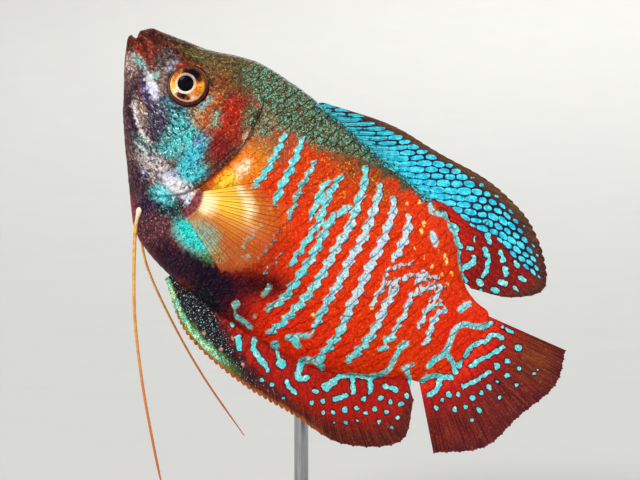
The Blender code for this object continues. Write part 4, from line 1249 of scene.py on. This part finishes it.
# Paint laid on the iris in spots of x, y, size, softness and colour: first what lies under the
# fibres, then the dark and pale patches over them.
irisSpots = (
    (-12, 3, 9, 3, "FCCE6C"),
    (-10, 5, 5, 3, "F8E8C0"),
    (-14, -4, 5, 2, "FAB638"),
    (-13, -11, 7, 3, "C85C06"),
    (-7, -16, 5, 2, "9A4408"),
    (11, -7, 8, 3, "F08408"),
    (14, 2, 6, 3, "FCAA1C"),
    (9, 8, 6, 3, "E27A14"),
    (13, 9, 4, 2, "C0621C"),
    (2, 13, 6, 3, "E4A070"),
    (-9, 12, 5, 3, "8A4420"),
    (3, -14, 9, 4, "8A3A0A"),
    (9, -9, 6, 4, "6A280A"),
    (-5, 10, 5, 3, "7A3818"),
)
irisPatches = (
    (-2, -15, 3.6, 1.8, "2A0E0C"),
    (4, -13.5, 5.2, 1.8, "120610"),
    (9, -11, 4.6, 1.8, "16080E"),
    (12, -7, 2.6, 1.6, "4A1C08"),
    (-5, 9.5, 3.2, 1.6, "1C0A12"),
    (-9, 8.5, 2.4, 1.0, "4A2014"),
    (0, 12, 2.2, 1.2, "5A2A1C"),
    (5, 11, 1.6, 1.0, "FBE6C8"),
    (9, 12, 1.6, 1.0, "F6CC90"),
)


def eyeFinish():
    finish, shader, place = newFinish(
        "fish_eye", Roughness=0.3, Specular_IOR_Level=0.03, Coat_Weight=0.08, Coat_Roughness=0.03
    )
    across, up = mapOf(place, "eyeMap")
    ox, oy = fromEye((across - 0.5) * iris["map"] + eye["s"], (up - 0.5) * iris["map"] + eye["h"])

    def away(x, y):
        dx, dy = ox - x, oy - y
        return (dx * dx + dy * dy) ** 0.5

    fromIris, fromPupil = away(*iris["middle"]), away(*iris["pupil"])
    dx, dy = (ox - iris["pupil"][0]) / fromPupil, (oy - iris["pupil"][1]) / fromPupil
    fibres = place.joined(dx * 5, dy * 5, fromPupil * 0.16).noise(1.0, 4, 0.75)
    wobble = (place.noise(2200, 3, 0.75) - 0.5) * 5 + (fibres - 0.5) * 9
    gold = fibres.ease(0.35, 0.65).mixed("C85406", "FFA010")
    for x, y, size, soft, paint in irisSpots:
        gold = (size - away(x, y) + wobble).ease(-soft, soft).mixed(gold, paint)
    gold = (fibres.ease(0.53, 0.60) * 0.45).mixed(gold, "FFD478")
    gold = (fibres.ease(0.45, 0.36) * 0.6).mixed(gold, "7A2C06")
    for x, y, size, soft, paint in irisPatches:
        gold = (size - away(x, y) + wobble * 0.7).ease(-soft, soft).mixed(gold, paint)
    pale = fibres.ease(0.35, 0.62).mixed("FFFAF0", "E8BC9C")
    low = (oy - ox * 0.5).ease(-10, 6)
    ring = (fromPupil + wobble * 0.15).ease(iris["ring"] + 0.3, iris["ring"] - 0.5)
    gold = (ring * (0.45 + low * 0.55)).mixed(gold, pale)
    past = fromIris - iris["radius"]
    gold = (abs(past + 1.1).ease(1.0, 0.3) * low * 0.7).mixed(gold, "F4D2A0")
    gold = (past.ease(-2.6, -0.2) * (1 - low) * 0.6).mixed(gold, "5A2408")
    under = (oy + ox * 0.3).ease(-8, 8)
    rim = under.mixed("7C6250", "743440")
    rim = (place.noise(2600, 2).ease(0.5, 0.62) * 0.5).mixed(rim, "34181C")
    rim = (past.ease(1.4, 0.6) * 0.8).mixed(rim, "2C140E")
    colour = past.ease(-0.3, 0.3).mixed(gold, rim)
    colour = (past.ease(2.8, 3.8) * under).mixed(colour, "3A2024")
    colour = (fromPupil - iris["pupilRadius"]).ease(0.4, -0.4).mixed(colour, "04010A")
    feed(place, shader, Base_Color=colour)
    return finish


eyesFinish = eyeFinish()
for name, side in (("eye_glass_left", -1), ("eye_glass_right", 1)):
    piece = makeEye(name, side)
    wear(piece, eyesFinish, "eye", "eye_left" if side < 0 else "eye_right")
print("eyes")

# Fins. A root line and a margin line of (s, h), front to rear; ray number p of n runs from a
# share of one to the same share of the other, bowed, with a slow wave across the fish.
dorsal = {
    "rays": 25,
    "root": ((24.0, 10.2), (30.0, 10.7), (36.0, 11.1), (42.0, 11.7), (47.5, 11.4), (51.0, 9.5),
             (54.8, 6.4)),
    "margin": ((24.4, 11.0), (32.6, 15.1), (40.0, 17.0), (48.2, 19.1), (56.2, 18.6), (62.8, 14.3),
               (60.7, 9.9), (55.9, 6.9)),
    "edgeFrom": (0.72, 1.0),  # shares of the way out over which the margin's fine dark rays come in
    "notch": (0.018, 0.006),  # depth of the scallops in shares of a ray, where rays are plain or forked
    "lean": 0.82,  # under 1 the rays slant further tailwards
    "bow": 0.4,  # how far a ray bows in its middle, in mm
    "wave": 0.5,  # how far the margin sways across the fish, in mm
    "steps": 8,  # columns from ray to ray
    "rows": 56,
    "branchFrom": 15,  # the first ray that forks
}
anal = {
    "rays": 31,
    "root": ((26.4, -20.2), (33.0, -19.5), (39.5, -18.4), (45.5, -16.7), (50.5, -14.3), (55.0, -10.7),
             (59.2, -7.4)),
    "margin": ((25.5, -21.2), (32.8, -24.4), (42.2, -24.1), (50.6, -22.2), (58.2, -20.4), (63.7, -14.6),
               (60.9, -9.2)),
    "edgeFrom": (0.50, 0.9),
    "notch": (0.045, 0.012),
    "lean": 1.0,
    "bow": -0.5,
    "wave": -0.5,
    "steps": 8,
    "rows": 48,
    "branchFrom": 16,
}
caudal = {
    "rays": 17,
    "root": ((60.1, 5.9), (61.3, 3.2), (61.8, 0.0), (61.3, -3.3), (59.6, -6.9)),
    "margin": ((71.0, 10.0), (73.4, 5.6), (72.7, -1.0), (72.2, -7.2), (68.0, -12.6)),
    "edgeFrom": (0.26, 0.75),
    "notch": (0.0, 0.011),
    "lean": 1.0,
    "bow": 0.0,
    "wave": 0.7,
    "steps": 14,
    "rows": 56,
    "branchFrom": -1,
}
finSink = 0.9  # mm of a fin inside the body
rayMapSize = 40  # rays, or mm along a ray, across the map of the rays


# ray numbers of a fin's columns, and their shares of the fin's width
def rayPlaces(f):
    p = np.linspace(0, f["rays"] - 1, (f["rays"] - 1) * f["steps"] + 1)
    return p, p / (f["rays"] - 1)


# A fin as two faces a little apart. Half its thickness is a thin membrane plus a ridge on each
# ray, which forks towards the margin in the soft part; the margin is scalloped between rays.
def finSheet(f):
    p, share = rayPlaces(f)
    out = np.linspace(0, 1, f["rows"])[:, None]
    start, end = shareOf(f["root"], share), shareOf(f["margin"], share ** f["lean"])
    soft = ease(p, f["branchFrom"] - 1, f["branchFrom"] + 1)
    between = np.abs(np.sin(p * math.pi))
    spiny, branched = f["notch"]
    scallop = spiny * (1 - soft) * (1 - np.abs(np.cos(2 * p * math.pi)))
    reach = 1 - scallop - branched * soft * (between + np.abs(np.sin(3 * p * math.pi)) ** 0.8)
    along = end - start
    length = np.linalg.norm(along, axis=1)[:, None]
    start = start - along / length * finSink
    across = np.stack([-along[:, 1], along[:, 0]], axis=1) / length
    o = (out * reach)[..., None]
    place = start + (end - start) * o + across * f["bow"] * 4 * o * (1 - o)
    o = o[..., 0]
    sway = f["wave"] * o**2 * np.sin(share * 2.2 * math.pi)
    sway = sway + 0.10 * o**2 * np.sin(p * math.pi + 1) * (1 - soft) + 0.06 * o**2 * np.sin(p * 2.1)
    fork = soft * 0.17 * ease(o, 0.35, 0.95)
    ridge = bell(np.abs(p - np.rint(p)) - fork, 0.13 - 0.03 * o)
    half = 0.075 - 0.03 * o + ridge * (0.17 - 0.11 * o)
    return place, sway, half, np.broadcast_to(p, half.shape), o, length[:, 0]


# a fin's two faces and the strip that joins their edges, as points and faces
def twoFaces(left, right):
    rows, columns = left.shape[:2]
    n = rows * columns
    sheet = gridFaces(rows, columns)
    index = np.arange(n).reshape(rows, columns)
    rim = np.concatenate([index[:, 0], index[-1, 1:], index[-2::-1, -1], index[0, -2:0:-1]])
    after = np.roll(rim, -1)
    sides = np.stack([rim, after, after + n, rim + n], axis=1)
    points = np.concatenate([left.reshape(-1, 3), right.reshape(-1, 3)])
    return points, [sheet, sheet[:, ::-1] + n, sides[:, ::-1]]


# the same values for both faces
def onBoth(data):
    return np.concatenate([data, data])


# the two faces side by side in the bake map, and the map of the rays, the same on both
def finMaps(f, p, along):
    u = 0.01 + p / (f["rays"] - 1) * 0.98
    v = np.broadcast_to(np.linspace(0, 1, f["rows"])[:, None], p.shape)
    bake = np.concatenate([np.stack([u, low + v * 0.47], axis=-1) for low in (0.01, 0.52)])
    return {"OFBake": bake, "rayMap": onBoth(np.stack([p, along], axis=-1) / rayMapSize)}


def makeFin(name, f, fields):
    place, sway, half, p, o, length = finSheet(f)
    s, h = place[..., 0], place[..., 1]
    points, faces = twoFaces(*(np.stack([s, y, h], axis=-1) for y in (sway - half, sway + half)))
    found = fields(s, h, p, o)
    found["mark"] = markField(np.stack([s, sway, h], axis=-1))
    found["edge"], found["thin"] = ease(o, *f["edgeFrom"]), ease(o, 0.6, 1.0)
    colours = {"paint": onBoth(found.pop("paint"))}
    values = {key: onBoth(data) for key, data in found.items()}
    maps = finMaps(f, p, o * (length + finSink) - finSink)
    return makePiece(name, points, faces, values, colours, maps)


# a colour for every point: the base, then each paint over it as far as its mask says
def layered(shape, base, *layers):
    colour = np.broadcast_to(tint(base), (*shape, 3)).copy()
    for mask, paint in layers:
        colour = colour + (tint(paint) - colour) * np.clip(mask, 0, 1)[..., None]
    return colour


# Below this line of (s, h) the dorsal fin is red with a few marks, and above it full of cells.
cellEdge = (
    (43.0, 11.6), (44.5, 12.3), (46.8, 12.9), (49.5, 13.0), (51.4, 13.2), (53.0, 14.3), (56.7, 13.9),
    (60.4, 14.1), (63.0, 14.6),
)
# The cells' rows on the side view, in its pixels: at each x the middle of the fin, the pitch of the
# rows, the pitch of the cells along a row, and 1 where the rows lie level or less where they droop.
cellRows = {
    "x": (320, 350, 385, 420, 460, 500, 530, 560),
    "middle": (113, 130, 145, 165, 195, 220, 250, 290),
    "high": (4.6, 4.6, 4.8, 6.2, 6.8, 7.6, 6.8, 6.4),
    "wide": (30, 30, 24, 14, 13, 10, 7.6, 7.0),
    "level": (1, 1, 1, 1, 0.95, 0.5, 0.4, 0.4),
}
# how far out on the fin the brown margin starts and the cells end, by ray number, and over which x
# on the side view the cells stop running together and then draw in
dorsalLook = {
    "brown": ((0, 8, 14, 20, 24), (0.36, 0.62, 0.82, 0.92, 0.90)),
    "cells": ((0, 6, 12, 18, 22, 24), (0.44, 0.62, 0.78, 0.93, 0.96, 0.91)),
    "flow": (350, 425),
    "small": (455, 495),
}


# the row and the place along it: sums of the steps from x to x, in pitches
def cellPlaces(px, py):
    x = np.arange(cellRows["x"][0], cellRows["x"][-1], 1.0)
    keys = ("middle", "high", "wide", "level")
    middle, high, wide, level = (np.interp(x, cellRows["x"], cellRows[key]) for key in keys)
    drop = np.cumsum(np.gradient(middle) * level / high)
    row = (py - np.interp(px, x, middle)) / np.interp(px, x, high) + np.interp(px, x, drop)
    return row, np.interp(px, x, np.cumsum(1 / wide))


# what each fin's points carry, by s, h, ray number p and share of the way out o
def dorsalFields(s, h, p, o):
    px, py = onPicture(np.stack([s, 0 * s, h], axis=-1))
    row, run = cellPlaces(px, py)
    rear = (1 - ease(h - np.interp(s, *np.array(cellEdge).T), -0.35, 0.25)) * ease(s, 42.5, 44.0)
    brown = ease(o, np.interp(p, *dorsalLook["brown"]), 0.97)
    paint = layered(
        s.shape,
        "0A162C",
        (1 - ease(o, 0.2, 0.6), "0E3454"),
        (rear, "8A0C0A"),
        (rear * (1 - ease(o, 0.1, 0.45)), "C01808"),
        (brown, "66462C"),
        (brown * ease(p, 9, 15), "481C1A"),
    )
    gap = 0.40 + 0.36 * ease(o, 0.05, 0.40) + 0.4 * ease(o, 0.68, 0.97)
    return {
        "paint": paint,
        "cells": (1 - rear) * (1 - ease(o, np.interp(p, *dorsalLook["cells"]), 1.02)),
        "flow": 1 - ease(px, *dorsalLook["flow"]),
        "gap": gap + 0.22 * ease(px, *dorsalLook["small"]),
        "foot": 1 - ease(lineDistance(px, py, dorsalFoot)[0], 1, 10),
        "row": row,
        "run": run,
    }


# on the side view: x of the edge of the anal fin's dark front at each y, and pink dots on it
analEdge = ((290, 318, 345, 366, 395), (214, 219, 233, 250, 280))
pinkDots = ((204, 333), (233, 338), (221, 349), (243, 364))


def analFields(s, h, p, o):
    px, py = onPicture(np.stack([s, 0 * s, h], axis=-1))
    past = px - np.interp(py, *analEdge)
    dark = 1 - ease(past + 3 * waves(px, py, 14, 4), -8, 9)
    brown = ease(o, 0.50, 0.9) * ease(p, 9, 14)
    strip = ease(o + 0.05 * waves(px, py, 7, 9), 0.68, 0.84) * (1 - ease(p, 7, 11))
    beads = ease(o, 0.88, 0.95) * ease(p, 1.5, 4) * (1 - ease(p, 16, 20))
    paint = layered(
        s.shape,
        "B01406",
        (dark, "120A18"),
        (dark * ease(past, -14, 6), "2C0C1C"),
        (brown, "5E1E18"),
        (strip, "6CAC4C"),
        (beads, "B4601E"),
        *((1 - ease(np.hypot(px - x, py - y), 1.0, 2.2), "F0A48A") for x, y in pinkDots),
    )
    wild = np.maximum(dark * 0.32 * (1 - strip) * (1 - 0.4 * ease(p, 8, 12)), strip * 0.8) * (1 - beads)
    return {"paint": paint, "wild": wild}


def caudalFields(s, h, p, o):
    brown = ease(o, 0.20, 0.66)
    paint = layered(
        s.shape,
        "B80E08",
        (1 - ease(o, 0.08, 0.34), "F02C0E"),
        (brown, "721A17"),
        (brown * bell(p - 2.5, 2.5) * 0.6, "84401C"),
        (ease(o, 0.78, 1.0), "5A141C"),
    )
    return {"paint": paint}


def finFinish(name, clear):
    finish, shader, place = newFinish(
        name, Roughness=0.5, Specular_IOR_Level=0.1, Coat_Weight=0.04, Coat_Roughness=0.3
    )
    ray, along = (share * rayMapSize for share in mapOf(place, "rayMap"))
    nearRay = abs(ray.fract() - 0.5).ease(0.34, 0.47)
    grain = place.noise(4200, 2, 0.65)
    paint = attribute(place, "paint", "Color")
    paint = (grain.ease(0.5, 0.35) * 0.5).mixed(paint, "2A0A0A")
    paint = (grain.ease(0.58, 0.7) * 0.2).mixed(paint, "FF8A50")
    edge = attribute(place, "edge")
    # fine dark rays in the margin, with paler membrane between
    fine = ray * 3 + (place.noise(400, 2) - 0.5) * 0.9
    fineRays = abs(fine.fract() - 0.5)
    strand = place.joined(ray * 4.5, along * 0.2).noise(1.0, 3, 0.6)
    paint = (fineRays.ease(0.24, 0.46) * edge * strand.ease(0.60, 0.42) * 0.5).mixed(paint, "2A060C")
    paint = (strand.ease(0.48, 0.38) * edge * 0.55).mixed(paint, "30080C")
    paint = (strand.ease(0.54, 0.66) * edge * 0.45).mixed(paint, "8E4428")
    cells = attribute(place, "cells")
    paint = (nearRay * (1 - edge) * 0.16).mixed(paint, "3A080A")
    # blue cells in rows, staggered from one row to the next, each of its own size
    flow, gap = attribute(place, "flow"), attribute(place, "gap")
    row = attribute(place, "row") + (place.noise(260, 1) - 0.5) * 0.9
    offRow = abs(row.fract() - 0.5)
    count = attribute(place, "run") + row.floor() * 0.5 + (place.noise(180, 1) - 0.5) * 0.8
    offCell = abs(count.fract() - 0.5)
    which = place.joined(row.floor(), count.floor())
    luck = place.node("ShaderNodeTexWhiteNoise", {"noise_dimensions": "2D"}, {"Vector": which})
    wobble = (place.noise(1500, 2) - 0.5) * 1.1
    oval = ((offRow / 0.42) ** 2.3 + (offCell / 0.44) ** 2.3) * gap * (0.75 + luck * 0.6)
    inside = (1 - oval + wobble + (cells - 1) * 1.8) * 0.5
    blue = place.noise(1500, 2).ease(0.35, 0.65).mixed("12B4DC", "54E8F4")
    blue = (flow * 0.45).mixed(blue, "48C4BC")
    blue = (place.noise(5200, 1).ease(0.54, 0.60) * 0.4).mixed(blue, "1A6AA0")
    streaks = row * 2 + place.noise(500, 2) * 1.4
    streak = abs(streaks.fract() - 0.5)
    blue = (flow.ease(0.1, 0.7) * streak.ease(0.26, 0.42) * 0.7).mixed(blue, "0E3450")
    blue = (offRow.ease(0.40, 0.48) * 0.6).mixed(blue, "123A66")
    paint = inside.ease(0.0, 0.10).mixed(paint, blue)
    foot = attribute(place, "foot")
    specks = foot * 0.5 + (place.noise(2600, 2, 0.7) - 0.5) * 3.2 - 0.72
    paint = (specks.ease(0.0, 0.15) * foot.ease(0.0, 0.2) * 0.85).mixed(paint, "1A3430")
    # loose specks of pale cyan, in the strip along the anal fin's front as well
    wild = attribute(place, "wild")
    flecks = place.noise(5600, 1, 0.6)
    fleckPaint = place.noise(1500, 2).ease(0.42, 0.58).mixed("5CC8C0", "D0F4B8")
    fleckPaint = wild.ease(0.6, 0.75).mixed("8CDCE0", fleckPaint)
    paint = ((wild + flecks * 2.4 - 1.84).ease(0.0, 0.1) * wild.ease(0.0, 0.2)).mixed(paint, fleckPaint)
    rough = (place.noise(1150, 1) - 0.5) * 0.7 + (place.noise(2800, 1) - 0.5) * 0.3
    marks = rough - attribute(place, "mark")
    paint = (marks.ease(-0.22, -0.03) * 0.85).mixed(paint, "140C2C")
    paint = marks.ease(0.0, 0.06).mixed(paint, blueColour(place))
    alpha = 1 - attribute(place, "thin") * clear * (1 - nearRay * 0.6)
    grained = bumped(place, place.noise(3000, 2), 0.25, 0.00008)
    feed(place, shader, Base_Color=paint, Alpha=alpha, Normal=grained)
    return finish


finTable = (
    ("dorsal", dorsal, dorsalFields, "blue_fin", "dorsal_fin", 0.08),
    ("anal", anal, analFields, "red_fin", "anal_fin", 0.06),
    ("caudal", caudal, caudalFields, "red_fin", "caudal_fin", 0.06),
)
for name, sizes, fields, slot, node, clear in finTable:
    piece = makeFin(name + "_rays", sizes, fields)
    wear(piece, finFinish(name + "_finish", clear), slot, node)
    print(name, "fin:", len(piece.data.polygons), "faces")

# Pectoral fins: a fan of rays from a short fleshy root, its membrane almost clear.
pectoral = {
    "rays": 14,
    "root": ((21.05, -9.25), (21.64, -11.0), (21.74, -12.77)),
    "lengths": (7.8, 10.2, 11.7, 12.0, 11.1, 9.2),
    "angles": (54, 40, 26, 13, 0, -13),  # of the rays, in degrees up from the fish's length
    "flare": 15.0,  # degrees out from the flank
    "steps": 12,
    "rows": 44,
}


# each ray runs straight out from its root at its own angle, away from the flank by the flare
def makePectoral(name, side):
    f = pectoral
    p, share = rayPlaces(f)
    root = shareOf(f["root"], share)
    length = shareOf(f["lengths"], share)[:, 0]
    angle = np.radians(shareOf(f["angles"], share)[:, 0])
    between = np.abs(np.sin(p * math.pi))
    out = np.linspace(-0.04, 1, f["rows"])[:, None] * (1 - 0.05 * between) * length
    flare = math.radians(f["flare"])
    s = root[:, 0] + out * np.cos(angle)
    h = root[:, 1] + out * np.sin(angle)
    start = halfWidthAt(root[:, 0], root[:, 1])
    o = np.clip(out / length, 0, 1)
    y = start + out * math.tan(flare) + 0.25 + 0.06 * o * np.sin(p * 1.9)
    ridge = np.broadcast_to(bell(np.abs(p - np.rint(p)), 0.075), o.shape)
    half = 0.05 - 0.02 * o + ridge * (0.11 - 0.07 * o) + 0.32 * (1 - ease(o, 0, 0.12))
    across = np.array((-side * math.sin(flare) * 0.7, math.cos(flare), -side * math.sin(flare) * 0.3))
    sheet = np.stack([s, side * y, h], axis=-1)
    points, faces = twoFaces(sheet - across * half[..., None], sheet + across * half[..., None])
    values = {"out": onBoth(o), "ridge": onBoth(ridge)}
    return makePiece(name, points, faces, values, maps=finMaps(f, np.broadcast_to(p, o.shape), out))


def pectoralFinish():
    finish, shader, place = newFinish("pectoral_finish", Roughness=0.35, Specular_IOR_Level=0.3)
    out, ridge = attribute(place, "out"), attribute(place, "ridge")
    ray = mapOf(place, "rayMap")[0] * rayMapSize
    wobble = (place.noise(700, 2) - 0.5) * 0.16
    reach = out + wobble
    upper = (ray - 5.4).ease(1.9, -1.6)  # the bands fade from the middle rays to the lowest
    middle = abs(ray - 4.6).ease(5.0, 1.5)
    cream = reach.ease(0.03, 0.08) * reach.ease(0.30, 0.14) * (0.15 + middle * 0.75)
    streak = (ray * 1.7 + wobble * 6).noise(1.0, 2, 0.7).ease(0.35, 0.6)
    second = abs(reach - 0.65).ease(0.12, 0.0) * upper * (0.4 + streak * 0.4)
    yellow = reach.ease(0.92, 0.45)
    warm = (ray - 7.5).ease(2.5, -3.5) * 0.75
    membrane = (yellow * (0.3 + upper * 0.7)).mixed("F07C14", "FFCC30")
    membrane = cream.largest(second).mixed(membrane, "FBEFC4")
    rays = ridge.ease(0.35, 0.8)
    forks = abs((ray * 2).fract() - 0.5).ease(0.38, 0.47) * out.ease(0.3, 0.45)
    colour = (rays * (0.3 + out.ease(0.1, 0.35) * 0.65)).mixed(membrane, "70260C")
    colour = (forks * 0.9).mixed(colour, "7E2C0E")
    flesh = place.noise(2600, 2).ease(0.4, 0.6).mixed("6A2228", "A04C50")
    colour = out.ease(0.09, 0.04).mixed(colour, flesh)
    alpha = 0.14 + cream * 0.8 + second * 0.6 + yellow * warm
    alpha = alpha.largest(rays * 0.9).largest(forks * 0.75).largest(out.ease(0.10, 0.06))
    alpha = alpha.smallest(1.0) * (1 - out.ease(0.85, 1.0) * 0.5)
    feed(place, shader, Base_Color=colour, Alpha=alpha)
    return finish


pectoralLook = pectoralFinish()
for name, side in (("pectoral_fan_left", -1), ("pectoral_fan_right", 1)):
    piece = makePectoral(name, side)
    wear(piece, pectoralLook, "amber_fin", "pectoral_fin_left" if side < 0 else "pectoral_fin_right")
print("pectoral fins")

# Feelers: the pelvic fins, each one long ray, as tubes along a smooth route of (s, h, y).
feeler = {
    "left": ((16.6, -16.3, -2.5), (17.7, -18.4, -2.5), (20.8, -21.9, -2.6), (26.4, -27.4, -3.1),
             (33.4, -33.0, -3.4), (40.2, -37.8, -3.5), (45.3, -41.2, -3.5)),
    "right": ((16.5, -16.4, 2.4), (18.2, -18.8, 2.7), (22.5, -21.9, 3.2), (30.0, -24.9, 4.2),
              (38.5, -27.4, 5.0), (48.2, -29.3, 5.4)),
    "share": (0, 0.01, 0.03, 0.055, 0.085, 0.12, 0.5, 0.9, 1),
    "radius": (0.15, 0.36, 0.50, 0.50, 0.36, 0.25, 0.21, 0.17, 0.07),
    "rightShare": 0.8,  # the right feeler is a little thinner
    "rows": 260,
    "columns": 14,
}


# rings of the given radius round a smooth route, across its direction
def makeFeeler(name, knots, thick):
    share = np.linspace(0, 1, feeler["rows"])
    path = shareOf([(s, y, h) for s, h, y in knots], share)
    along = np.gradient(path, axis=0)
    along /= np.linalg.norm(along, axis=1, keepdims=True)
    sideways = np.cross(along, (0, 1, 0))
    sideways /= np.linalg.norm(sideways, axis=1, keepdims=True)
    other = np.cross(along, sideways)
    beads = 1 + 0.06 * np.sin(share * 520) * (share > 0.05)
    radius = np.interp(share, feeler["share"], feeler["radius"]) * beads * thick
    turn = np.linspace(0, 2 * math.pi, feeler["columns"], endpoint=False)[None, :, None]
    ring = np.cos(turn) * sideways[:, None, :] + np.sin(turn) * other[:, None, :]
    points, faces = closedTube(path[:, None, :] + radius[:, None, None] * ring, path[[0, -1]])
    out = np.append(np.repeat(share, feeler["columns"]), (0, 1))
    return makePiece(name, points, faces, values={"out": out})


def feelerFinish():
    finish, shader, place = newFinish(
        "feeler_finish", Roughness=0.35, Coat_Weight=0.3, Coat_Roughness=0.2
    )
    out = attribute(place, "out")
    colour = place.noise(1800, 2).ease(0.35, 0.65).mixed("D98A1C", "F0B04A")
    colour = out.ease(0.3, 0.9).mixed(colour, "C4661A")
    colour = out.ease(0.20, 0.07).mixed(colour, "F6E6C8")
    feed(place, shader, Base_Color=colour, Normal=bumped(place, place.noise(4000, 2), 0.3, 0.0001))
    return finish


feelerLook = feelerFinish()
for side in ("left", "right"):
    piece = makeFeeler("feeler_" + side, feeler[side], 1.0 if side == "left" else feeler["rightShare"])
    wear(piece, feelerLook, "amber_fin", "pelvic_feeler_" + side)
print("feelers")

# The stand: a turned wooden base and a bent steel rod.
stand = {"radius": 25.0, "height": 5.0, "edge": 1.2}


# a profile of (radius, height) carried round Z
def turned(profile, columns):
    turn = np.linspace(0, 2 * math.pi, columns, endpoint=False)
    r, z = profile[:, :1], profile[:, 1:]
    return np.stack([r * np.cos(turn), r * np.sin(turn), z + 0 * turn], axis=-1)


def makeBase():
    r, z, e = stand["radius"], stand["height"], stand["edge"]
    bend = np.linspace(0, math.pi / 2, 8)
    profile = [(r - 0.8, 0.0), (r - 0.3, 0.12), (r, 0.5)]
    profile += [(r - e + e * math.cos(a), z - e + e * math.sin(a)) for a in bend]
    profile += [(r - e - 0.9, z), (r - e - 1.2, z - 0.12), (r - e - 1.5, z), (r * 0.5, z)]
    points, faces = closedTube(turned(np.array(profile), 128), [(0, 0, 0), (0, 0, z)])
    return makePiece("stand_turned_base", points, faces, world=False)


def woodFinish():
    finish, shader, place = newFinish("walnut", Coat_Weight=0.4, Coat_Roughness=0.25)
    longways = place.node("ShaderNodeMapping", {}, {"Vector": place, "Scale": (1.0, 9.0, 9.0)})
    grain = longways.noise(60, 5, 0.6)
    pores = longways.noise(420, 2)
    colour = grain.ease(0.35, 0.65).mixed("3B2214", "6B4226")
    colour = (pores.ease(0.58, 0.7) * 0.6).mixed(colour, "1E100A")
    pitted = bumped(place, pores, 0.2, 0.0001)
    feed(place, shader, Base_Color=colour, Roughness=0.32 + pores * 0.2, Normal=pitted)
    return finish


def steelFinish():
    finish, shader, place = newFinish("brushed_steel", Metallic=1.0)
    longways = place.node("ShaderNodeMapping", {}, {"Vector": place, "Scale": (1.0, 1.0, 0.08)})
    fine = longways.noise(5000, 2)
    colour = fine.mixed("8E9094", "C4C6CA")
    scored = bumped(place, fine, 0.1, 0.00005)
    feed(place, shader, Base_Color=colour, Roughness=0.24 + fine * 0.16, Normal=scored)
    return finish


wear(makeBase(), woodFinish(), "base", "stand_base")
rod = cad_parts["stand_rod"]
rod.data.materials.clear()
rod.data.materials.append(steelFinish())
print("stand")

# The studio: a pale floor that curves up behind, big soft lights, and the photograph's view.
studio = {
    "flat": 0.35,  # radius of the flat floor
    "rim": 3.4,
    "rimHigh": 2.4,
    "camera": (0.0027, -0.240, 0.0428),
    "lens": 100.0,
    "sensor": 36.0,
    "aim": (0, 0, 0.04),  # what every light points at
}
# each light's place, its size across and its power
lights = {
    "key_light": ((-1.0, -1.6, 1.4), 0.9, 37.0),
    "fill_light": ((1.8, -1.3, 0.8), 1.5, 15.0),
    "back_light": ((0.3, 1.7, 1.3), 1.2, 18.0),
    "low_light": ((0.3, -1.5, 0.12), 1.2, 2.6),
}


# a disc whose edge curves up all round, so that every view ends in the same paper
def makeFloor():
    bend = np.linspace(0, math.pi / 2, 20)
    reach = studio["rim"] - studio["flat"]
    r = np.concatenate([[0.3, studio["flat"]], studio["flat"] + reach * np.sin(bend[1:])])
    z = np.concatenate([[0, 0], studio["rimHigh"] * (1 - np.cos(bend[1:]))])
    rings = turned(np.stack([r, z], axis=1), 96)
    points, (quads, fan, _rim) = closedTube(rings, [(0, 0, 0)])
    mesh = bpy.data.meshes.new("studio_floor")
    mesh.from_pydata(points.tolist(), [], quads[:, ::-1].tolist() + fan[:, ::-1].tolist())
    mesh.shade_smooth()
    floor = bpy.data.objects.new("studio_floor", mesh)
    bpy.context.scene.collection.objects.link(floor)
    finish, shader, place = newFinish("studio_paper", Roughness=0.9)
    colour = place.noise(30, 2).mixed("C9C8C4", "CECDC9")
    feed(place, shader, Base_Color=colour)
    mesh.materials.append(finish)


def makeLight(name, place, size, power):
    light = bpy.data.lights.new(name, "AREA")
    light.shape, light.size, light.energy = "DISK", size, power
    lamp = bpy.data.objects.new(name, light)
    lamp.location = place
    lamp.rotation_mode = "QUATERNION"
    lamp.rotation_quaternion = (Vector(studio["aim"]) - Vector(place)).to_track_quat("-Z", "Y")
    bpy.context.scene.collection.objects.link(lamp)


makeFloor()
for name, sizes in lights.items():
    makeLight(name, *sizes)

world = bpy.data.worlds.new("soft_room")
bpy.context.scene.world = world
world.use_nodes = True
room = world.node_tree.nodes["Background"].inputs
room["Color"].default_value = (0.9, 0.92, 0.95, 1)
room["Strength"].default_value = 0.5

view = bpy.data.cameras.new("photo_view")
view.lens, view.sensor_width, view.sensor_fit = studio["lens"], studio["sensor"], "HORIZONTAL"
view.clip_start, view.clip_end = 0.01, 20
camera = bpy.data.objects.new("photo_view", view)
camera.location = studio["camera"]
camera.rotation_euler = (math.pi / 2, 0, 0)
bpy.context.scene.collection.objects.link(camera)
bpy.context.scene.camera = camera
bpy.context.scene.view_settings.view_transform = "Standard"
print("studio")
